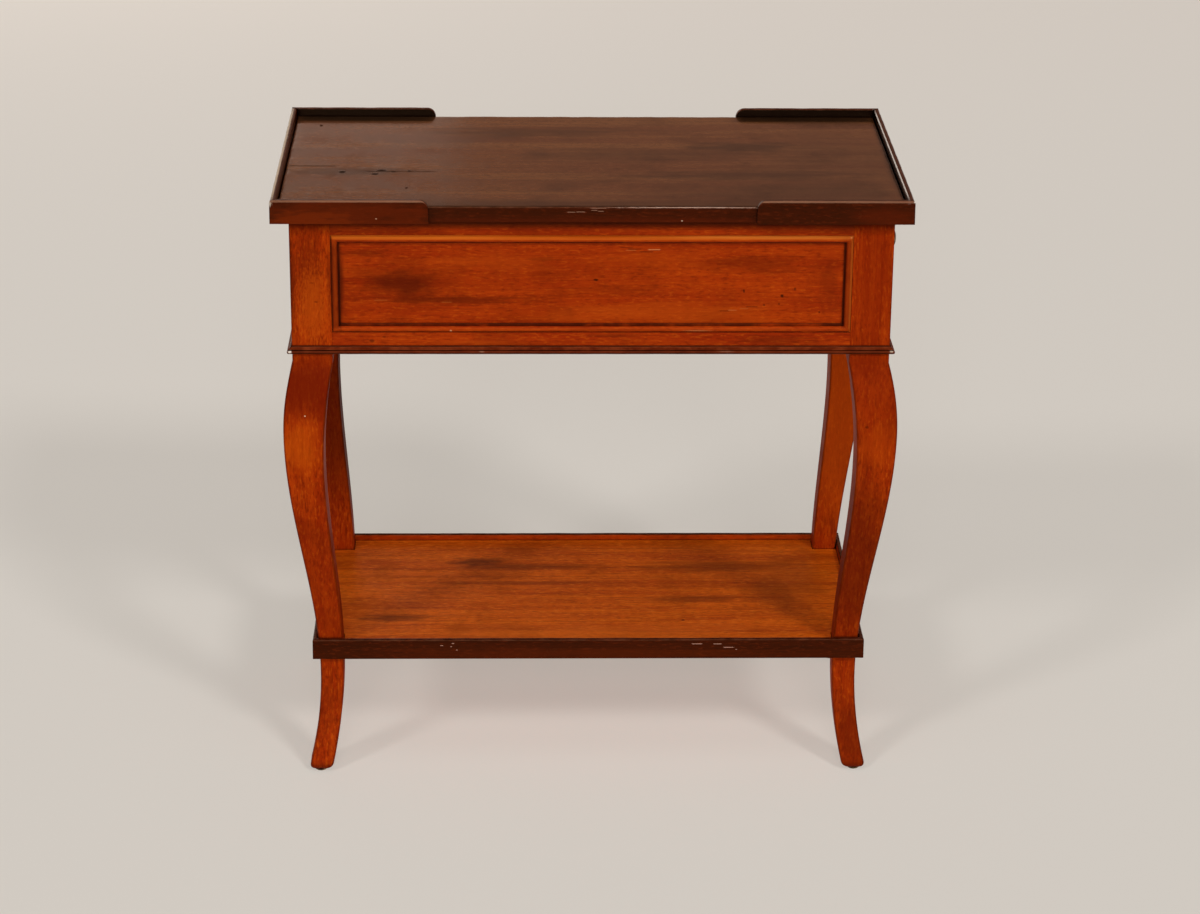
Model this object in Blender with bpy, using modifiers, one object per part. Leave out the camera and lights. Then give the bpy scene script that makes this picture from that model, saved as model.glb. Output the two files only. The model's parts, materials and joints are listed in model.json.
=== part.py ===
"""Side table with a tray top, a panelled case, an end drawer, cabriole legs and a tray shelf.

Metres, +Z up. The origin lies on the floor below the middle of the table. The front
faces -Y, and the drawer opens towards +X.
"""

import math
from typing import NamedTuple

import bmesh
import bpy
from mathutils import Matrix, Vector

# Overall sizes
TABLE_HEIGHT = 0.660
TOP_LENGTH = 0.658
TOP_DEPTH = 0.361
TOP_OVERHANG = 0.018

# Clearance between pieces that touch or fit into each other
JOINT_GAP = 0.0003

# Gallery strips round the top, and the board that they edge
GALLERY_HEIGHT = 0.025
GALLERY_THICKNESS = 0.007
GALLERY_RISE = 0.0085
GALLERY_RETURN = 0.1615
GALLERY_END_RADIUS = 0.010
GALLERY_END_STEPS = 5
GALLERY_ARRIS = 0.0029
TOP_EDGE_ARRIS = 0.0015

# Case: posts, rails and panels
CASE_HEIGHT = 0.1455
POST_SIZE = 0.042
POST_ARRIS = 0.0006
RAIL_THICKNESS = 0.020
TOP_RAIL_HEIGHT = 0.0172
BOTTOM_RAIL_HEIGHT = 0.0228
TENON_LENGTH = 0.020
TENON_THICKNESS = 0.007
TENON_SHOULDER = 0.003
PANEL_RECESS = 0.004
PANEL_THICKNESS = 0.008
PANEL_TONGUE = 0.005

# Planted moulding inside each opening
MOULDING_FILLET = 0.0010
MOULDING_BEAD = 0.0052
MOULDING_COVE = 0.0014
MOULDING_EDGE = 0.0011
MOULDING_PROUD = 0.0026
MOULDING_BEAD_STEPS = 6
MOULDING_COVE_STEPS = 3

# Bead and cove mitred round the foot of the case
BASE_BEAD_RADIUS = 0.0024
BASE_COVE_RADIUS = 0.0030
BASE_STEP = 0.0008
BASE_ARC_STEPS = 5

# Cabriole leg: heights of its curves, and how far each sawn face stands out from the post's face
CURVE_DROP = 0.0115
OUTER_KNEE_DROP = 0.0875
OUTER_KNEE_SWELL = 0.0108
OUTER_ANKLE_HEIGHT = 0.114
OUTER_ANKLE_INSET = 0.0202
OUTER_FLOOR_INSET = 0.005
INNER_KNEE_DROP = 0.1245
INNER_KNEE_SWELL = 0.0112
INNER_ANKLE_HEIGHT = 0.128
INNER_ANKLE_INSET = 0.0037
INNER_FLOOR_SWELL = 0.0115
LEG_ARRIS = 0.003
LEG_ARRIS_STEPS = 2
LEG_RINGS = 24
FOOT_ROUND = 0.005
FOOT_ROUND_STEPS = 2

# Nail glide under each foot
GLIDE_HEIGHT = 0.0025
GLIDE_RADIUS = 0.008
GLIDE_FLAT_RADIUS = 0.006
NAIL_RADIUS = 0.0011
NAIL_LENGTH = 0.014

# Lower shelf
SHELF_TOP = 0.157
SHELF_STRIP_HEIGHT = 0.0228
SHELF_STRIP_THICKNESS = 0.0055
SHELF_RISE = 0.0075
SHELF_ARRIS = 0.0018
SHELF_DOWEL_RADIUS = 0.004
SHELF_DOWEL_IN_LEG = 0.012
SHELF_DOWEL_IN_BOARD = 0.018
SHELF_NOTCH_SAMPLES = 9

# Drawer
DRAWER_REAR_SPACE = 0.058
DRAWER_GAP = 0.0008
DRAWER_FRONT_THICKNESS = 0.018
DRAWER_SIDE_THICKNESS = 0.011
DRAWER_SIDE_DROP = 0.004
DRAWER_BACK_DROP = 0.008
DRAWER_BACK_SETBACK = 0.010
DRAWER_DADO = 0.004
DRAWER_BOTTOM_THICKNESS = 0.005
DRAWER_BOTTOM_LIFT = 0.009
DRAWER_GROOVE = 0.004
DOVETAIL_COUNT = 3
DOVETAIL_LAP = 0.006
DOVETAIL_ROOT_WIDTH = 0.017
DOVETAIL_TIP_WIDTH = 0.022
DOVETAIL_OVERLAP = 0.004

# Turned knob and the screw that holds it
KNOB_RADIUS = 0.014
KNOB_LENGTH = 0.025
KNOB_DOME = 0.009
KNOB_RIM_RADIUS = 0.0126
KNOB_RIM_DROP = 0.0025
KNOB_NECK_RADIUS = 0.0055
KNOB_NECK_RISE = 0.00125
KNOB_FOOT_RADIUS = 0.0085
KNOB_FOOT_HEIGHT = 0.003
KNOB_ARC_STEPS = 6
KNOB_SCREW_RADIUS = 0.002
KNOB_SCREW_IN_KNOB = 0.012
SCREW_HEAD_RADIUS = 0.0045
SCREW_HEAD_HEIGHT = 0.0028
SCREW_HEAD_EDGE_RADIUS = 0.0036
SCREW_HEAD_EDGE_HEIGHT = 0.002
TURNING_STEPS = 24

# Drawer runners, kickers, stops and the glue blocks under the top
RUNNER_WIDTH = 0.022
RUNNER_HEIGHT = 0.018
GUIDE_RISE = 0.015
KICKER_WIDTH = 0.020
STOP_LENGTH = 0.018
STOP_HEIGHT = 0.015
GLUE_BLOCK_SIZE = 0.016
GLUE_BLOCK_LENGTH = 0.060
GLUE_BLOCK_SPACING = 0.300

# Sizes that follow from those above
CASE_TOP = TABLE_HEIGHT - GALLERY_HEIGHT
CASE_BOTTOM = CASE_TOP - CASE_HEIGHT
CASE_LENGTH = TOP_LENGTH - 2 * TOP_OVERHANG
CASE_DEPTH = TOP_DEPTH - 2 * TOP_OVERHANG
CURVE_START = CASE_BOTTOM - CURVE_DROP
OUTER_KNEE_HEIGHT = CASE_BOTTOM - OUTER_KNEE_DROP
INNER_KNEE_HEIGHT = CASE_BOTTOM - INNER_KNEE_DROP
BASE_TOP = CASE_BOTTOM + 2 * BASE_BEAD_RADIUS + BASE_STEP + BASE_COVE_RADIUS
OPENING_LENGTH = CASE_LENGTH - 2 * POST_SIZE
OPENING_DEPTH = CASE_DEPTH - 2 * POST_SIZE
OPENING_BOTTOM = CASE_BOTTOM + BOTTOM_RAIL_HEIGHT
OPENING_TOP = CASE_TOP - TOP_RAIL_HEIGHT
BOARD_TOP = TABLE_HEIGHT - GALLERY_RISE
FOOT_BOTTOM = GLIDE_HEIGHT + JOINT_GAP
SHELF_BOTTOM = SHELF_TOP - SHELF_STRIP_HEIGHT
SHELF_SURFACE = SHELF_TOP - SHELF_RISE
DRAWER_HALF_WIDTH = OPENING_DEPTH / 2 - DRAWER_GAP
DRAWER_LOW = OPENING_BOTTOM + DRAWER_GAP
DRAWER_HIGH = OPENING_TOP - DRAWER_GAP
DRAWER_MIDDLE = (DRAWER_LOW + DRAWER_HIGH) / 2
DRAWER_FRONT_BACK = PANEL_RECESS + DRAWER_FRONT_THICKNESS
DRAWER_END = CASE_LENGTH - DRAWER_REAR_SPACE
DRAWER_FLOOR = OPENING_BOTTOM + JOINT_GAP + DRAWER_BOTTOM_LIFT


class Box(NamedTuple):
    """An upright block between two corners."""

    low: tuple
    high: tuple

    def grown(self, gap):
        """The block with a clearance added on every side."""
        return Box(tuple(v - gap for v in self.low), tuple(v + gap for v in self.high))


class Side(NamedTuple):
    """One face of the case, with x along it, y into the case and z up from the floor."""

    angle: float
    opening: float
    reach: float


SIDES = {
    "front": Side(0.0, OPENING_LENGTH, CASE_DEPTH / 2),
    "right": Side(math.pi / 2, OPENING_DEPTH, CASE_LENGTH / 2),
    "back": Side(math.pi, OPENING_LENGTH, CASE_DEPTH / 2),
    "left": Side(-math.pi / 2, OPENING_DEPTH, CASE_LENGTH / 2),
}
DRAWER_SIDE = SIDES["right"]
CORNERS = {
    "front_left": (-1, -1),
    "front_right": (1, -1),
    "back_left": (-1, 1),
    "back_right": (1, 1),
}


# Scene, materials and placing


def clear_scene():
    """Remove the objects that the scene starts with."""
    for obj in list(bpy.data.objects):
        bpy.data.objects.remove(obj, do_unlink=True)


def new_collection(name):
    """A new collection in the scene."""
    collection = bpy.data.collections.new(name)
    bpy.context.scene.collection.children.link(collection)
    return collection


def new_material(name, color, roughness, metallic=0.0):
    """A Principled material from a linear colour."""
    material = bpy.data.materials.new(name)
    material.use_nodes = True
    shader = material.node_tree.nodes["Principled BSDF"]
    shader.inputs["Base Color"].default_value = (*color, 1.0)
    shader.inputs["Roughness"].default_value = roughness
    shader.inputs["Metallic"].default_value = metallic
    material.diffuse_color = (*color, 1.0)
    return material


def new_empty(name, location):
    """An empty that carries the pieces of one body."""
    empty = bpy.data.objects.new(name, None)
    empty.location = location
    PARTS.objects.link(empty)
    return empty


def new_object(name, bm, material=None):
    """A mesh object from a bmesh: a part where it has a material, otherwise a cutter."""
    bm.normal_update()
    bmesh.ops.recalc_face_normals(bm, faces=bm.faces[:])
    mesh = bpy.data.meshes.new(name)
    bm.to_mesh(mesh)
    bm.free()
    obj = bpy.data.objects.new(name, mesh)
    if material is None:
        obj.hide_render = True
        obj.display_type = "WIRE"
        CUTTERS.objects.link(obj)
    else:
        mesh.materials.append(material)
        PARTS.objects.link(obj)
    return obj


def attach(obj, parent):
    """Parent an object where it stands."""
    obj.parent = parent
    obj.matrix_parent_inverse = Matrix.Translation(parent.location).inverted()
    return obj


def on_side(obj, side, reach=None):
    """Stand an object on a face of the case, or on a parallel face at another reach."""
    distance = side.reach if reach is None else reach
    obj.location = Matrix.Rotation(side.angle, 3, "Z") @ Vector((0.0, -distance, 0.0))
    obj.rotation_euler.z = side.angle
    return obj


def combine(obj, other, operation="DIFFERENCE"):
    """Cut an object with a cutter, or join a helper solid to it."""
    modifier = obj.modifiers.new(f"{operation.lower()}_{other.name}", "BOOLEAN")
    modifier.operation = operation
    modifier.solver = "EXACT"
    modifier.object = other


def smooth(obj, angle=math.radians(30)):
    """Shade a round piece smooth, with its edges left sharp."""
    obj.data.shade_smooth()
    obj.data.set_sharp_from_angle(angle=angle)
    return obj


# Shapes


def block(box):
    """A bmesh block between two corners."""
    bm = bmesh.new()
    bmesh.ops.create_cube(bm, size=1.0)
    low, high = Vector(box.low), Vector(box.high)
    bmesh.ops.scale(bm, vec=high - low, verts=bm.verts)
    bmesh.ops.translate(bm, vec=(low + high) / 2, verts=bm.verts)
    return bm


def round_edges(bm, edges, radius, segments=2):
    """Round the given edges."""
    bmesh.ops.bevel(
        bm,
        geom=edges,
        offset=radius,
        offset_type="OFFSET",
        segments=segments,
        profile=0.5,
        affect="EDGES",
        material=-1,
        clamp_overlap=True,
    )


def arc(middle, radius, start, end, steps):
    """Points of a circular or elliptic arc, both ends included, angles in degrees."""
    rx, ry = radius if isinstance(radius, tuple) else (radius, radius)
    points = []
    for step in range(steps + 1):
        angle = math.radians(start + (end - start) * step / steps)
        points.append((middle[0] + rx * math.cos(angle), middle[1] + ry * math.sin(angle)))
    return points


def prism(outline, start, end):
    """A straight bar along y, from an outline of (x, z) points."""
    bm = bmesh.new()
    section = bm.faces.new([bm.verts.new((x, start, z)) for x, z in outline])
    swept = bmesh.ops.extrude_face_region(bm, geom=[section])
    moved = [item for item in swept["geom"] if isinstance(item, bmesh.types.BMVert)]
    bmesh.ops.translate(bm, vec=(0.0, end - start, 0.0), verts=moved)
    return bm


def strip(profile, length, mitre_start=True, mitre_end=True):
    """A moulding along x, from a profile of (out, up) points.

    The length is that of the inner face, and a mitred end grows by one unit for
    each unit that the profile stands out.
    """
    bm = bmesh.new()
    verts = []
    for out, up in profile:
        verts.append(bm.verts.new((-length / 2 - out * mitre_start, -out, up)))
    section = bm.faces.new(verts)
    swept = bmesh.ops.extrude_face_region(bm, geom=[section])
    for vert in swept["geom"]:
        if isinstance(vert, bmesh.types.BMVert):
            vert.co.x = length / 2 - vert.co.y * mitre_end
    return bm


def frame(half_length, half_height, profile):
    """A mitred frame in the xz plane, from a closed profile of (inward, out) points."""
    bm = bmesh.new()
    corners = [bm.verts.new((x, 0.0, z)) for x, z in ((-1, -1), (1, -1), (1, 1), (-1, 1))]
    edges = [bm.edges.new((corners[i - 1], corners[i])) for i in range(4)]
    rings = [corners]
    for _ in profile:
        swept = bmesh.ops.extrude_edge_only(bm, edges=edges)["geom"]
        rings.append([item for item in swept if isinstance(item, bmesh.types.BMVert)])
        edges = [item for item in swept if isinstance(item, bmesh.types.BMEdge)]
    for ring, (inward, out) in zip(rings, profile + profile[:1]):
        for vert in ring:
            x = math.copysign(half_length - inward, vert.co.x)
            z = math.copysign(half_height - inward, vert.co.z)
            vert.co = (x, -out, z)
    bmesh.ops.remove_doubles(bm, verts=bm.verts[:], dist=JOINT_GAP / 100)
    return bm


def turned(name, profile, material):
    """A turned solid about z, from (radius, height) points that run down its outer side."""
    mesh = bpy.data.meshes.new(name)
    edges = [(i, i + 1) for i in range(len(profile) - 1)]
    mesh.from_pydata([(radius, 0.0, height) for radius, height in profile], edges, [])
    mesh.materials.append(material)
    obj = bpy.data.objects.new(name, mesh)
    PARTS.objects.link(obj)
    screw = obj.modifiers.new("turning", "SCREW")
    screw.steps = TURNING_STEPS
    screw.render_steps = TURNING_STEPS
    screw.use_merge_vertices = True
    screw.merge_threshold = 0.00001
    return obj


def rod(radius, low, high, segments=16):
    """A bmesh cylinder about z between two heights."""
    bm = bmesh.new()
    bmesh.ops.create_cone(
        bm, cap_ends=True, segments=segments, radius1=radius, radius2=radius, depth=high - low
    )
    bmesh.ops.translate(bm, vec=(0.0, 0.0, (low + high) / 2), verts=bm.verts)
    return bm


# Legs


def sawn_face(height, knee, swell, ankle, ankle_out, floor_out):
    """How far a sawn leg face stands out from the post: an arc, an S and a flared foot."""
    if height >= CURVE_START:
        return 0.0
    if height >= knee:
        rise = (height - knee) / (CURVE_START - knee)
        return swell * (1 - rise**2)
    if height >= ankle:
        fall = (knee - height) / (knee - ankle)
        return swell + (ankle_out - swell) * fall**2 * (3 - 2 * fall)
    flare = (ankle - height) / ankle
    return ankle_out + (floor_out - ankle_out) * flare**2


def outer_offset(height):
    """The outer faces of a leg, measured from the case."""
    return sawn_face(
        height,
        OUTER_KNEE_HEIGHT,
        OUTER_KNEE_SWELL,
        OUTER_ANKLE_HEIGHT,
        -OUTER_ANKLE_INSET,
        -OUTER_FLOOR_INSET,
    )


def inner_offset(height):
    """The inner faces of a leg, measured from the inner faces of the post."""
    return sawn_face(
        height,
        INNER_KNEE_HEIGHT,
        INNER_KNEE_SWELL,
        INNER_ANKLE_HEIGHT,
        -INNER_ANKLE_INSET,
        INNER_FLOOR_SWELL,
    )


def leg_middle(height):
    """The middle of a leg, measured outwards from the case's corner."""
    return (outer_offset(height) + inner_offset(height) - POST_SIZE) / 2


def leg_section(corner, height, inset):
    """The points of a leg's section at one height: a square, rounder below the case."""
    arris = LEG_ARRIS if height < BASE_TOP else POST_ARRIS
    inner = inner_offset(height) - POST_SIZE + inset
    outer = outer_offset(height) - inset
    low, high = inner + arris, outer - arris
    points = []
    for quarter, middle in enumerate(((high, high), (low, high), (low, low), (high, low))):
        points += arc(middle, arris, 90 * quarter, 90 * quarter + 90, LEG_ARRIS_STEPS)
    return [Vector((corner[0] * x, corner[1] * y, height)) for x, y in points]


def leg_blank(corner):
    """A leg sawn to the same S-curve in both planes, lofted up from its rounded foot."""
    levels = []
    for step in range(FOOT_ROUND_STEPS):
        angle = math.pi / 2 * step / FOOT_ROUND_STEPS
        rise, inset = FOOT_ROUND * (1 - math.cos(angle)), FOOT_ROUND * (1 - math.sin(angle))
        levels.append((FOOT_BOTTOM + rise, inset))
    curve_low = FOOT_BOTTOM + FOOT_ROUND
    for ring in range(LEG_RINGS + 1):
        levels.append((curve_low + (CURVE_START - curve_low) * ring / LEG_RINGS, 0.0))
    for height in (CASE_BOTTOM, BASE_TOP, CASE_TOP - JOINT_GAP):
        levels.append((height, 0.0))
    bm = bmesh.new()
    section = leg_section(corner, *levels[0])
    face = bm.faces.new([bm.verts.new(point) for point in section])
    foot = face
    for level in levels[1:]:
        swept = bmesh.ops.extrude_face_region(bm, geom=[face])["geom"]
        if face is not foot:
            bmesh.ops.delete(bm, geom=[face], context="FACES_ONLY")
        face = next(item for item in swept if isinstance(item, bmesh.types.BMFace))
        following = leg_section(corner, *level)
        for vert in face.verts:
            nearest = min(range(len(section)), key=lambda i: (section[i] - vert.co).length)
            vert.co = following[nearest]
        section = following
    return bm


def make_legs(fruitwood, brass):
    """The four legs, and the nail glide under each foot."""
    legs = {}
    for name, corner in CORNERS.items():
        leg = smooth(new_object(f"leg_{name}", leg_blank(corner), fruitwood))
        leg.location = (corner[0] * CASE_LENGTH / 2, corner[1] * CASE_DEPTH / 2, 0.0)
        legs[name] = attach(leg, TABLE)
        foot = leg_middle(FOOT_BOTTOM)
        place = (
            corner[0] * (CASE_LENGTH / 2 + foot),
            corner[1] * (CASE_DEPTH / 2 + foot),
            0.0,
        )
        glide = turned(
            f"glide_{name}",
            [
                (0.0, GLIDE_HEIGHT + NAIL_LENGTH),
                (NAIL_RADIUS, GLIDE_HEIGHT + NAIL_LENGTH - 2 * NAIL_RADIUS),
                (NAIL_RADIUS, GLIDE_HEIGHT),
                (GLIDE_RADIUS, GLIDE_HEIGHT),
                ((GLIDE_RADIUS + 2 * GLIDE_FLAT_RADIUS) / 3, GLIDE_HEIGHT / 4),
                (GLIDE_FLAT_RADIUS, 0.0),
                (0.0, 0.0),
            ],
            brass,
        )
        glide.location = place
        attach(glide, TABLE)
        hole = rod(NAIL_RADIUS + JOINT_GAP, 0.0, GLIDE_HEIGHT + NAIL_LENGTH + JOINT_GAP, 12)
        nail_hole = new_object(f"nail_hole_{name}", hole)
        nail_hole.location = place
        combine(leg, nail_hole)
    return legs


# Case


def side_legs(side_name, legs):
    """The two legs that stand at the ends of a face of the case."""
    return [leg for name, leg in legs.items() if side_name in name]


def make_rail(side_name, level, low, high, tenon_low, tenon_high, legs, material):
    """A rail between two posts, with a tenon at each end and their mortises."""
    side = SIDES[side_name]
    half = side.opening / 2
    body = Box((-half + JOINT_GAP, 0.0, low), (half - JOINT_GAP, RAIL_THICKNESS, high))
    cheek = (RAIL_THICKNESS - TENON_THICKNESS) / 2
    bar = Box(
        (-half - TENON_LENGTH, cheek, tenon_low),
        (half + TENON_LENGTH, cheek + TENON_THICKNESS, tenon_high),
    )
    name = f"{side_name}_{level}_rail"
    rail = attach(on_side(new_object(name, block(body), material), side), TABLE)
    combine(rail, on_side(new_object(f"{name}_tenons", block(bar)), side), "UNION")
    mortises = on_side(new_object(f"{name}_mortises", block(bar.grown(JOINT_GAP))), side)
    for leg in side_legs(side_name, legs):
        combine(leg, mortises)
    return rail


def make_rails(side_name, grooved, legs, material):
    """The top and bottom rail of one face. A panel's groove shortens their tenons."""
    groove = PANEL_TONGUE + JOINT_GAP if grooved else TENON_SHOULDER
    bottom = make_rail(
        side_name,
        "bottom",
        CASE_BOTTOM,
        OPENING_BOTTOM,
        CASE_BOTTOM + TENON_SHOULDER,
        OPENING_BOTTOM - groove,
        legs,
        material,
    )
    top = make_rail(
        side_name,
        "top",
        OPENING_TOP,
        CASE_TOP - JOINT_GAP,
        OPENING_TOP + groove,
        CASE_TOP - TENON_SHOULDER,
        legs,
        material,
    )
    return [bottom, top]


def moulding_profile(backing):
    """The planted moulding from its outer edge inwards: fillet, bead and cove.

    The backing is the depth from the rail's face to the face that carries it.
    """
    bead_middle = (MOULDING_FILLET + MOULDING_BEAD / 2, backing)
    bead = arc(bead_middle, (MOULDING_BEAD / 2, MOULDING_PROUD), 180, 0, MOULDING_BEAD_STEPS)
    width = MOULDING_FILLET + MOULDING_BEAD + MOULDING_COVE
    cove_size = (MOULDING_COVE, backing - MOULDING_EDGE)
    cove = arc((width, backing), cove_size, 180, 270, MOULDING_COVE_STEPS)
    return [(0.0, 0.0), (0.0, backing), *bead, *cove[1:], (width, 0.0)]


def make_moulding(name, side, clearance, material, parent):
    """The mitred moulding round one opening, seated on its panel or drawer front."""
    backing = PANEL_RECESS - JOINT_GAP
    half_length = side.opening / 2 - clearance
    half_height = (OPENING_TOP - OPENING_BOTTOM) / 2 - clearance
    bm = frame(half_length, half_height, moulding_profile(backing))
    middle = (OPENING_TOP + OPENING_BOTTOM) / 2
    bmesh.ops.translate(bm, vec=(0.0, backing, middle), verts=bm.verts)
    return attach(on_side(new_object(name, bm, material), side), parent)


def make_panel(side_name, rails, legs, material):
    """A panel held in grooves of two posts and two rails, and its moulding."""
    side = SIDES[side_name]
    reach = side.opening / 2 + PANEL_TONGUE
    box = Box(
        (-reach, PANEL_RECESS, OPENING_BOTTOM - PANEL_TONGUE),
        (reach, PANEL_RECESS + PANEL_THICKNESS, OPENING_TOP + PANEL_TONGUE),
    )
    attach(on_side(new_object(f"{side_name}_panel", block(box), material), side), TABLE)
    groove = on_side(new_object(f"{side_name}_panel_groove", block(box.grown(JOINT_GAP))), side)
    for piece in rails + side_legs(side_name, legs):
        combine(piece, groove)
    make_moulding(f"{side_name}_panel_moulding", side, JOINT_GAP, material, TABLE)


def base_profile():
    """Bead, step and cove of the base moulding, from the case outwards and up."""
    bead = arc((BASE_BEAD_RADIUS, BASE_BEAD_RADIUS), BASE_BEAD_RADIUS, -90, 90, 2 * BASE_ARC_STEPS)
    step_up = 2 * BASE_BEAD_RADIUS + BASE_STEP
    cove_middle = (BASE_COVE_RADIUS + BASE_STEP, step_up + BASE_COVE_RADIUS)
    cove = arc(cove_middle, BASE_COVE_RADIUS, 270, 180, BASE_ARC_STEPS)
    return [(0.0, 0.0), *bead, (cove_middle[0], 2 * BASE_BEAD_RADIUS), *cove, (0.0, cove_middle[1])]


def make_base_mouldings(material):
    """The four mitred lengths round the foot of the case."""
    for side_name, side in SIDES.items():
        bm = strip(base_profile(), side.opening + 2 * POST_SIZE)
        bmesh.ops.translate(bm, vec=(0.0, 0.0, CASE_BOTTOM), verts=bm.verts)
        piece = new_object(f"base_moulding_{side_name}", bm, material)
        attach(on_side(piece, side, side.reach + JOINT_GAP), TABLE)


def make_glue_blocks(material):
    """Blocks that glue the front and back top rails to the underside of the top."""
    for name, corner in CORNERS.items():
        side = SIDES[name.split("_")[0]]
        middle = corner[0] * GLUE_BLOCK_SPACING / 2 * (1 if side.angle == 0.0 else -1)
        inner = RAIL_THICKNESS + JOINT_GAP
        top = CASE_TOP - JOINT_GAP
        box = Box(
            (middle - GLUE_BLOCK_LENGTH / 2, inner, top - GLUE_BLOCK_SIZE),
            (middle + GLUE_BLOCK_LENGTH / 2, inner + GLUE_BLOCK_SIZE, top),
        )
        attach(on_side(new_object(f"glue_block_{name}", block(box), material), side), TABLE)


# Top


def gallery_profile():
    """The upright section of a gallery strip, as (out, up) points."""
    return [
        (0.0, 0.0),
        (GALLERY_THICKNESS, 0.0),
        (GALLERY_THICKNESS, GALLERY_HEIGHT),
        (0.0, GALLERY_HEIGHT),
    ]


def top_arrises(bm, height):
    """The long edges along the top of a strip, with those round its end."""
    found = []
    for edge in bm.edges:
        flat = abs(edge.verts[0].co.y - edge.verts[1].co.y) < 1e-6
        if flat and edge.calc_length() > 1e-5 and max(v.co.z for v in edge.verts) > height:
            sideways = [face for face in edge.link_faces if abs(face.normal.y) > 0.9]
            others = [face for face in edge.link_faces if face.normal.z > 0.05]
            if sideways and others:
                found.append(edge)
    return found


def gallery_strip(length, mitre_start, mitre_end):
    """A gallery strip with eased top edges, and a quarter-round at an end that isn't mitred."""
    bm = strip(gallery_profile(), length, mitre_start, mitre_end)
    bmesh.ops.recalc_face_normals(bm, faces=bm.faces[:])
    free_end = length / 2 * (mitre_start - mitre_end)
    if free_end:
        tips = []
        for edge in bm.edges:
            at_tip = all(abs(v.co.x - free_end) < 1e-6 and v.co.z > 1e-6 for v in edge.verts)
            if at_tip:
                tips.append(edge)
        round_edges(bm, tips, GALLERY_END_RADIUS, GALLERY_END_STEPS)
        bm.normal_update()
    round_edges(bm, top_arrises(bm, GALLERY_HEIGHT - GALLERY_END_RADIUS - 1e-5), GALLERY_ARRIS)
    bmesh.ops.translate(bm, vec=(0.0, 0.0, CASE_TOP), verts=bm.verts)
    return bm


def make_top(material):
    """The top board, the two end strips and the four short returns of the gallery."""
    half_length = TOP_LENGTH / 2 - GALLERY_THICKNESS
    half_depth = TOP_DEPTH / 2 - GALLERY_THICKNESS
    board = Box(
        (-half_length + JOINT_GAP, -half_depth + JOINT_GAP, CASE_TOP),
        (half_length - JOINT_GAP, half_depth - JOINT_GAP, BOARD_TOP),
    )
    bm = block(board)
    upper = [edge for edge in bm.edges if all(v.co.z > BOARD_TOP - 1e-6 for v in edge.verts)]
    round_edges(bm, upper, TOP_EDGE_ARRIS)
    attach(new_object("top_board", bm, material), TABLE)
    for side_name in ("left", "right"):
        piece = gallery_strip(2 * half_depth, True, True)
        end = new_object(f"gallery_{side_name}", piece, material)
        attach(on_side(end, SIDES[side_name], half_length), TABLE)
    length = GALLERY_RETURN - GALLERY_THICKNESS
    for name, corner in CORNERS.items():
        side = SIDES[name.split("_")[0]]
        hand = corner[0] * (1 if side.angle == 0.0 else -1)
        piece = gallery_strip(length - JOINT_GAP, hand < 0, hand > 0)
        shift = hand * (half_length - (length + JOINT_GAP) / 2)
        bmesh.ops.translate(piece, vec=(shift, 0.0, 0.0), verts=piece.verts)
        attach(on_side(new_object(f"gallery_{name}", piece, material), side, half_depth), TABLE)


# Shelf


def shelf_edge():
    """How far outside the case's faces the inner faces of the shelf strips stand."""
    return max(outer_offset(SHELF_TOP), outer_offset(SHELF_BOTTOM)) + JOINT_GAP


def shelf_profile():
    """A shelf strip's section, with its two top edges eased."""
    outer, top, ease = SHELF_STRIP_THICKNESS, SHELF_STRIP_HEIGHT, SHELF_ARRIS
    return [
        (0.0, 0.0),
        (outer, 0.0),
        *arc((outer - ease, top - ease), ease, 0, 90, 2),
        *arc((ease, top - ease), ease, 90, 180, 2),
    ]


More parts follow.
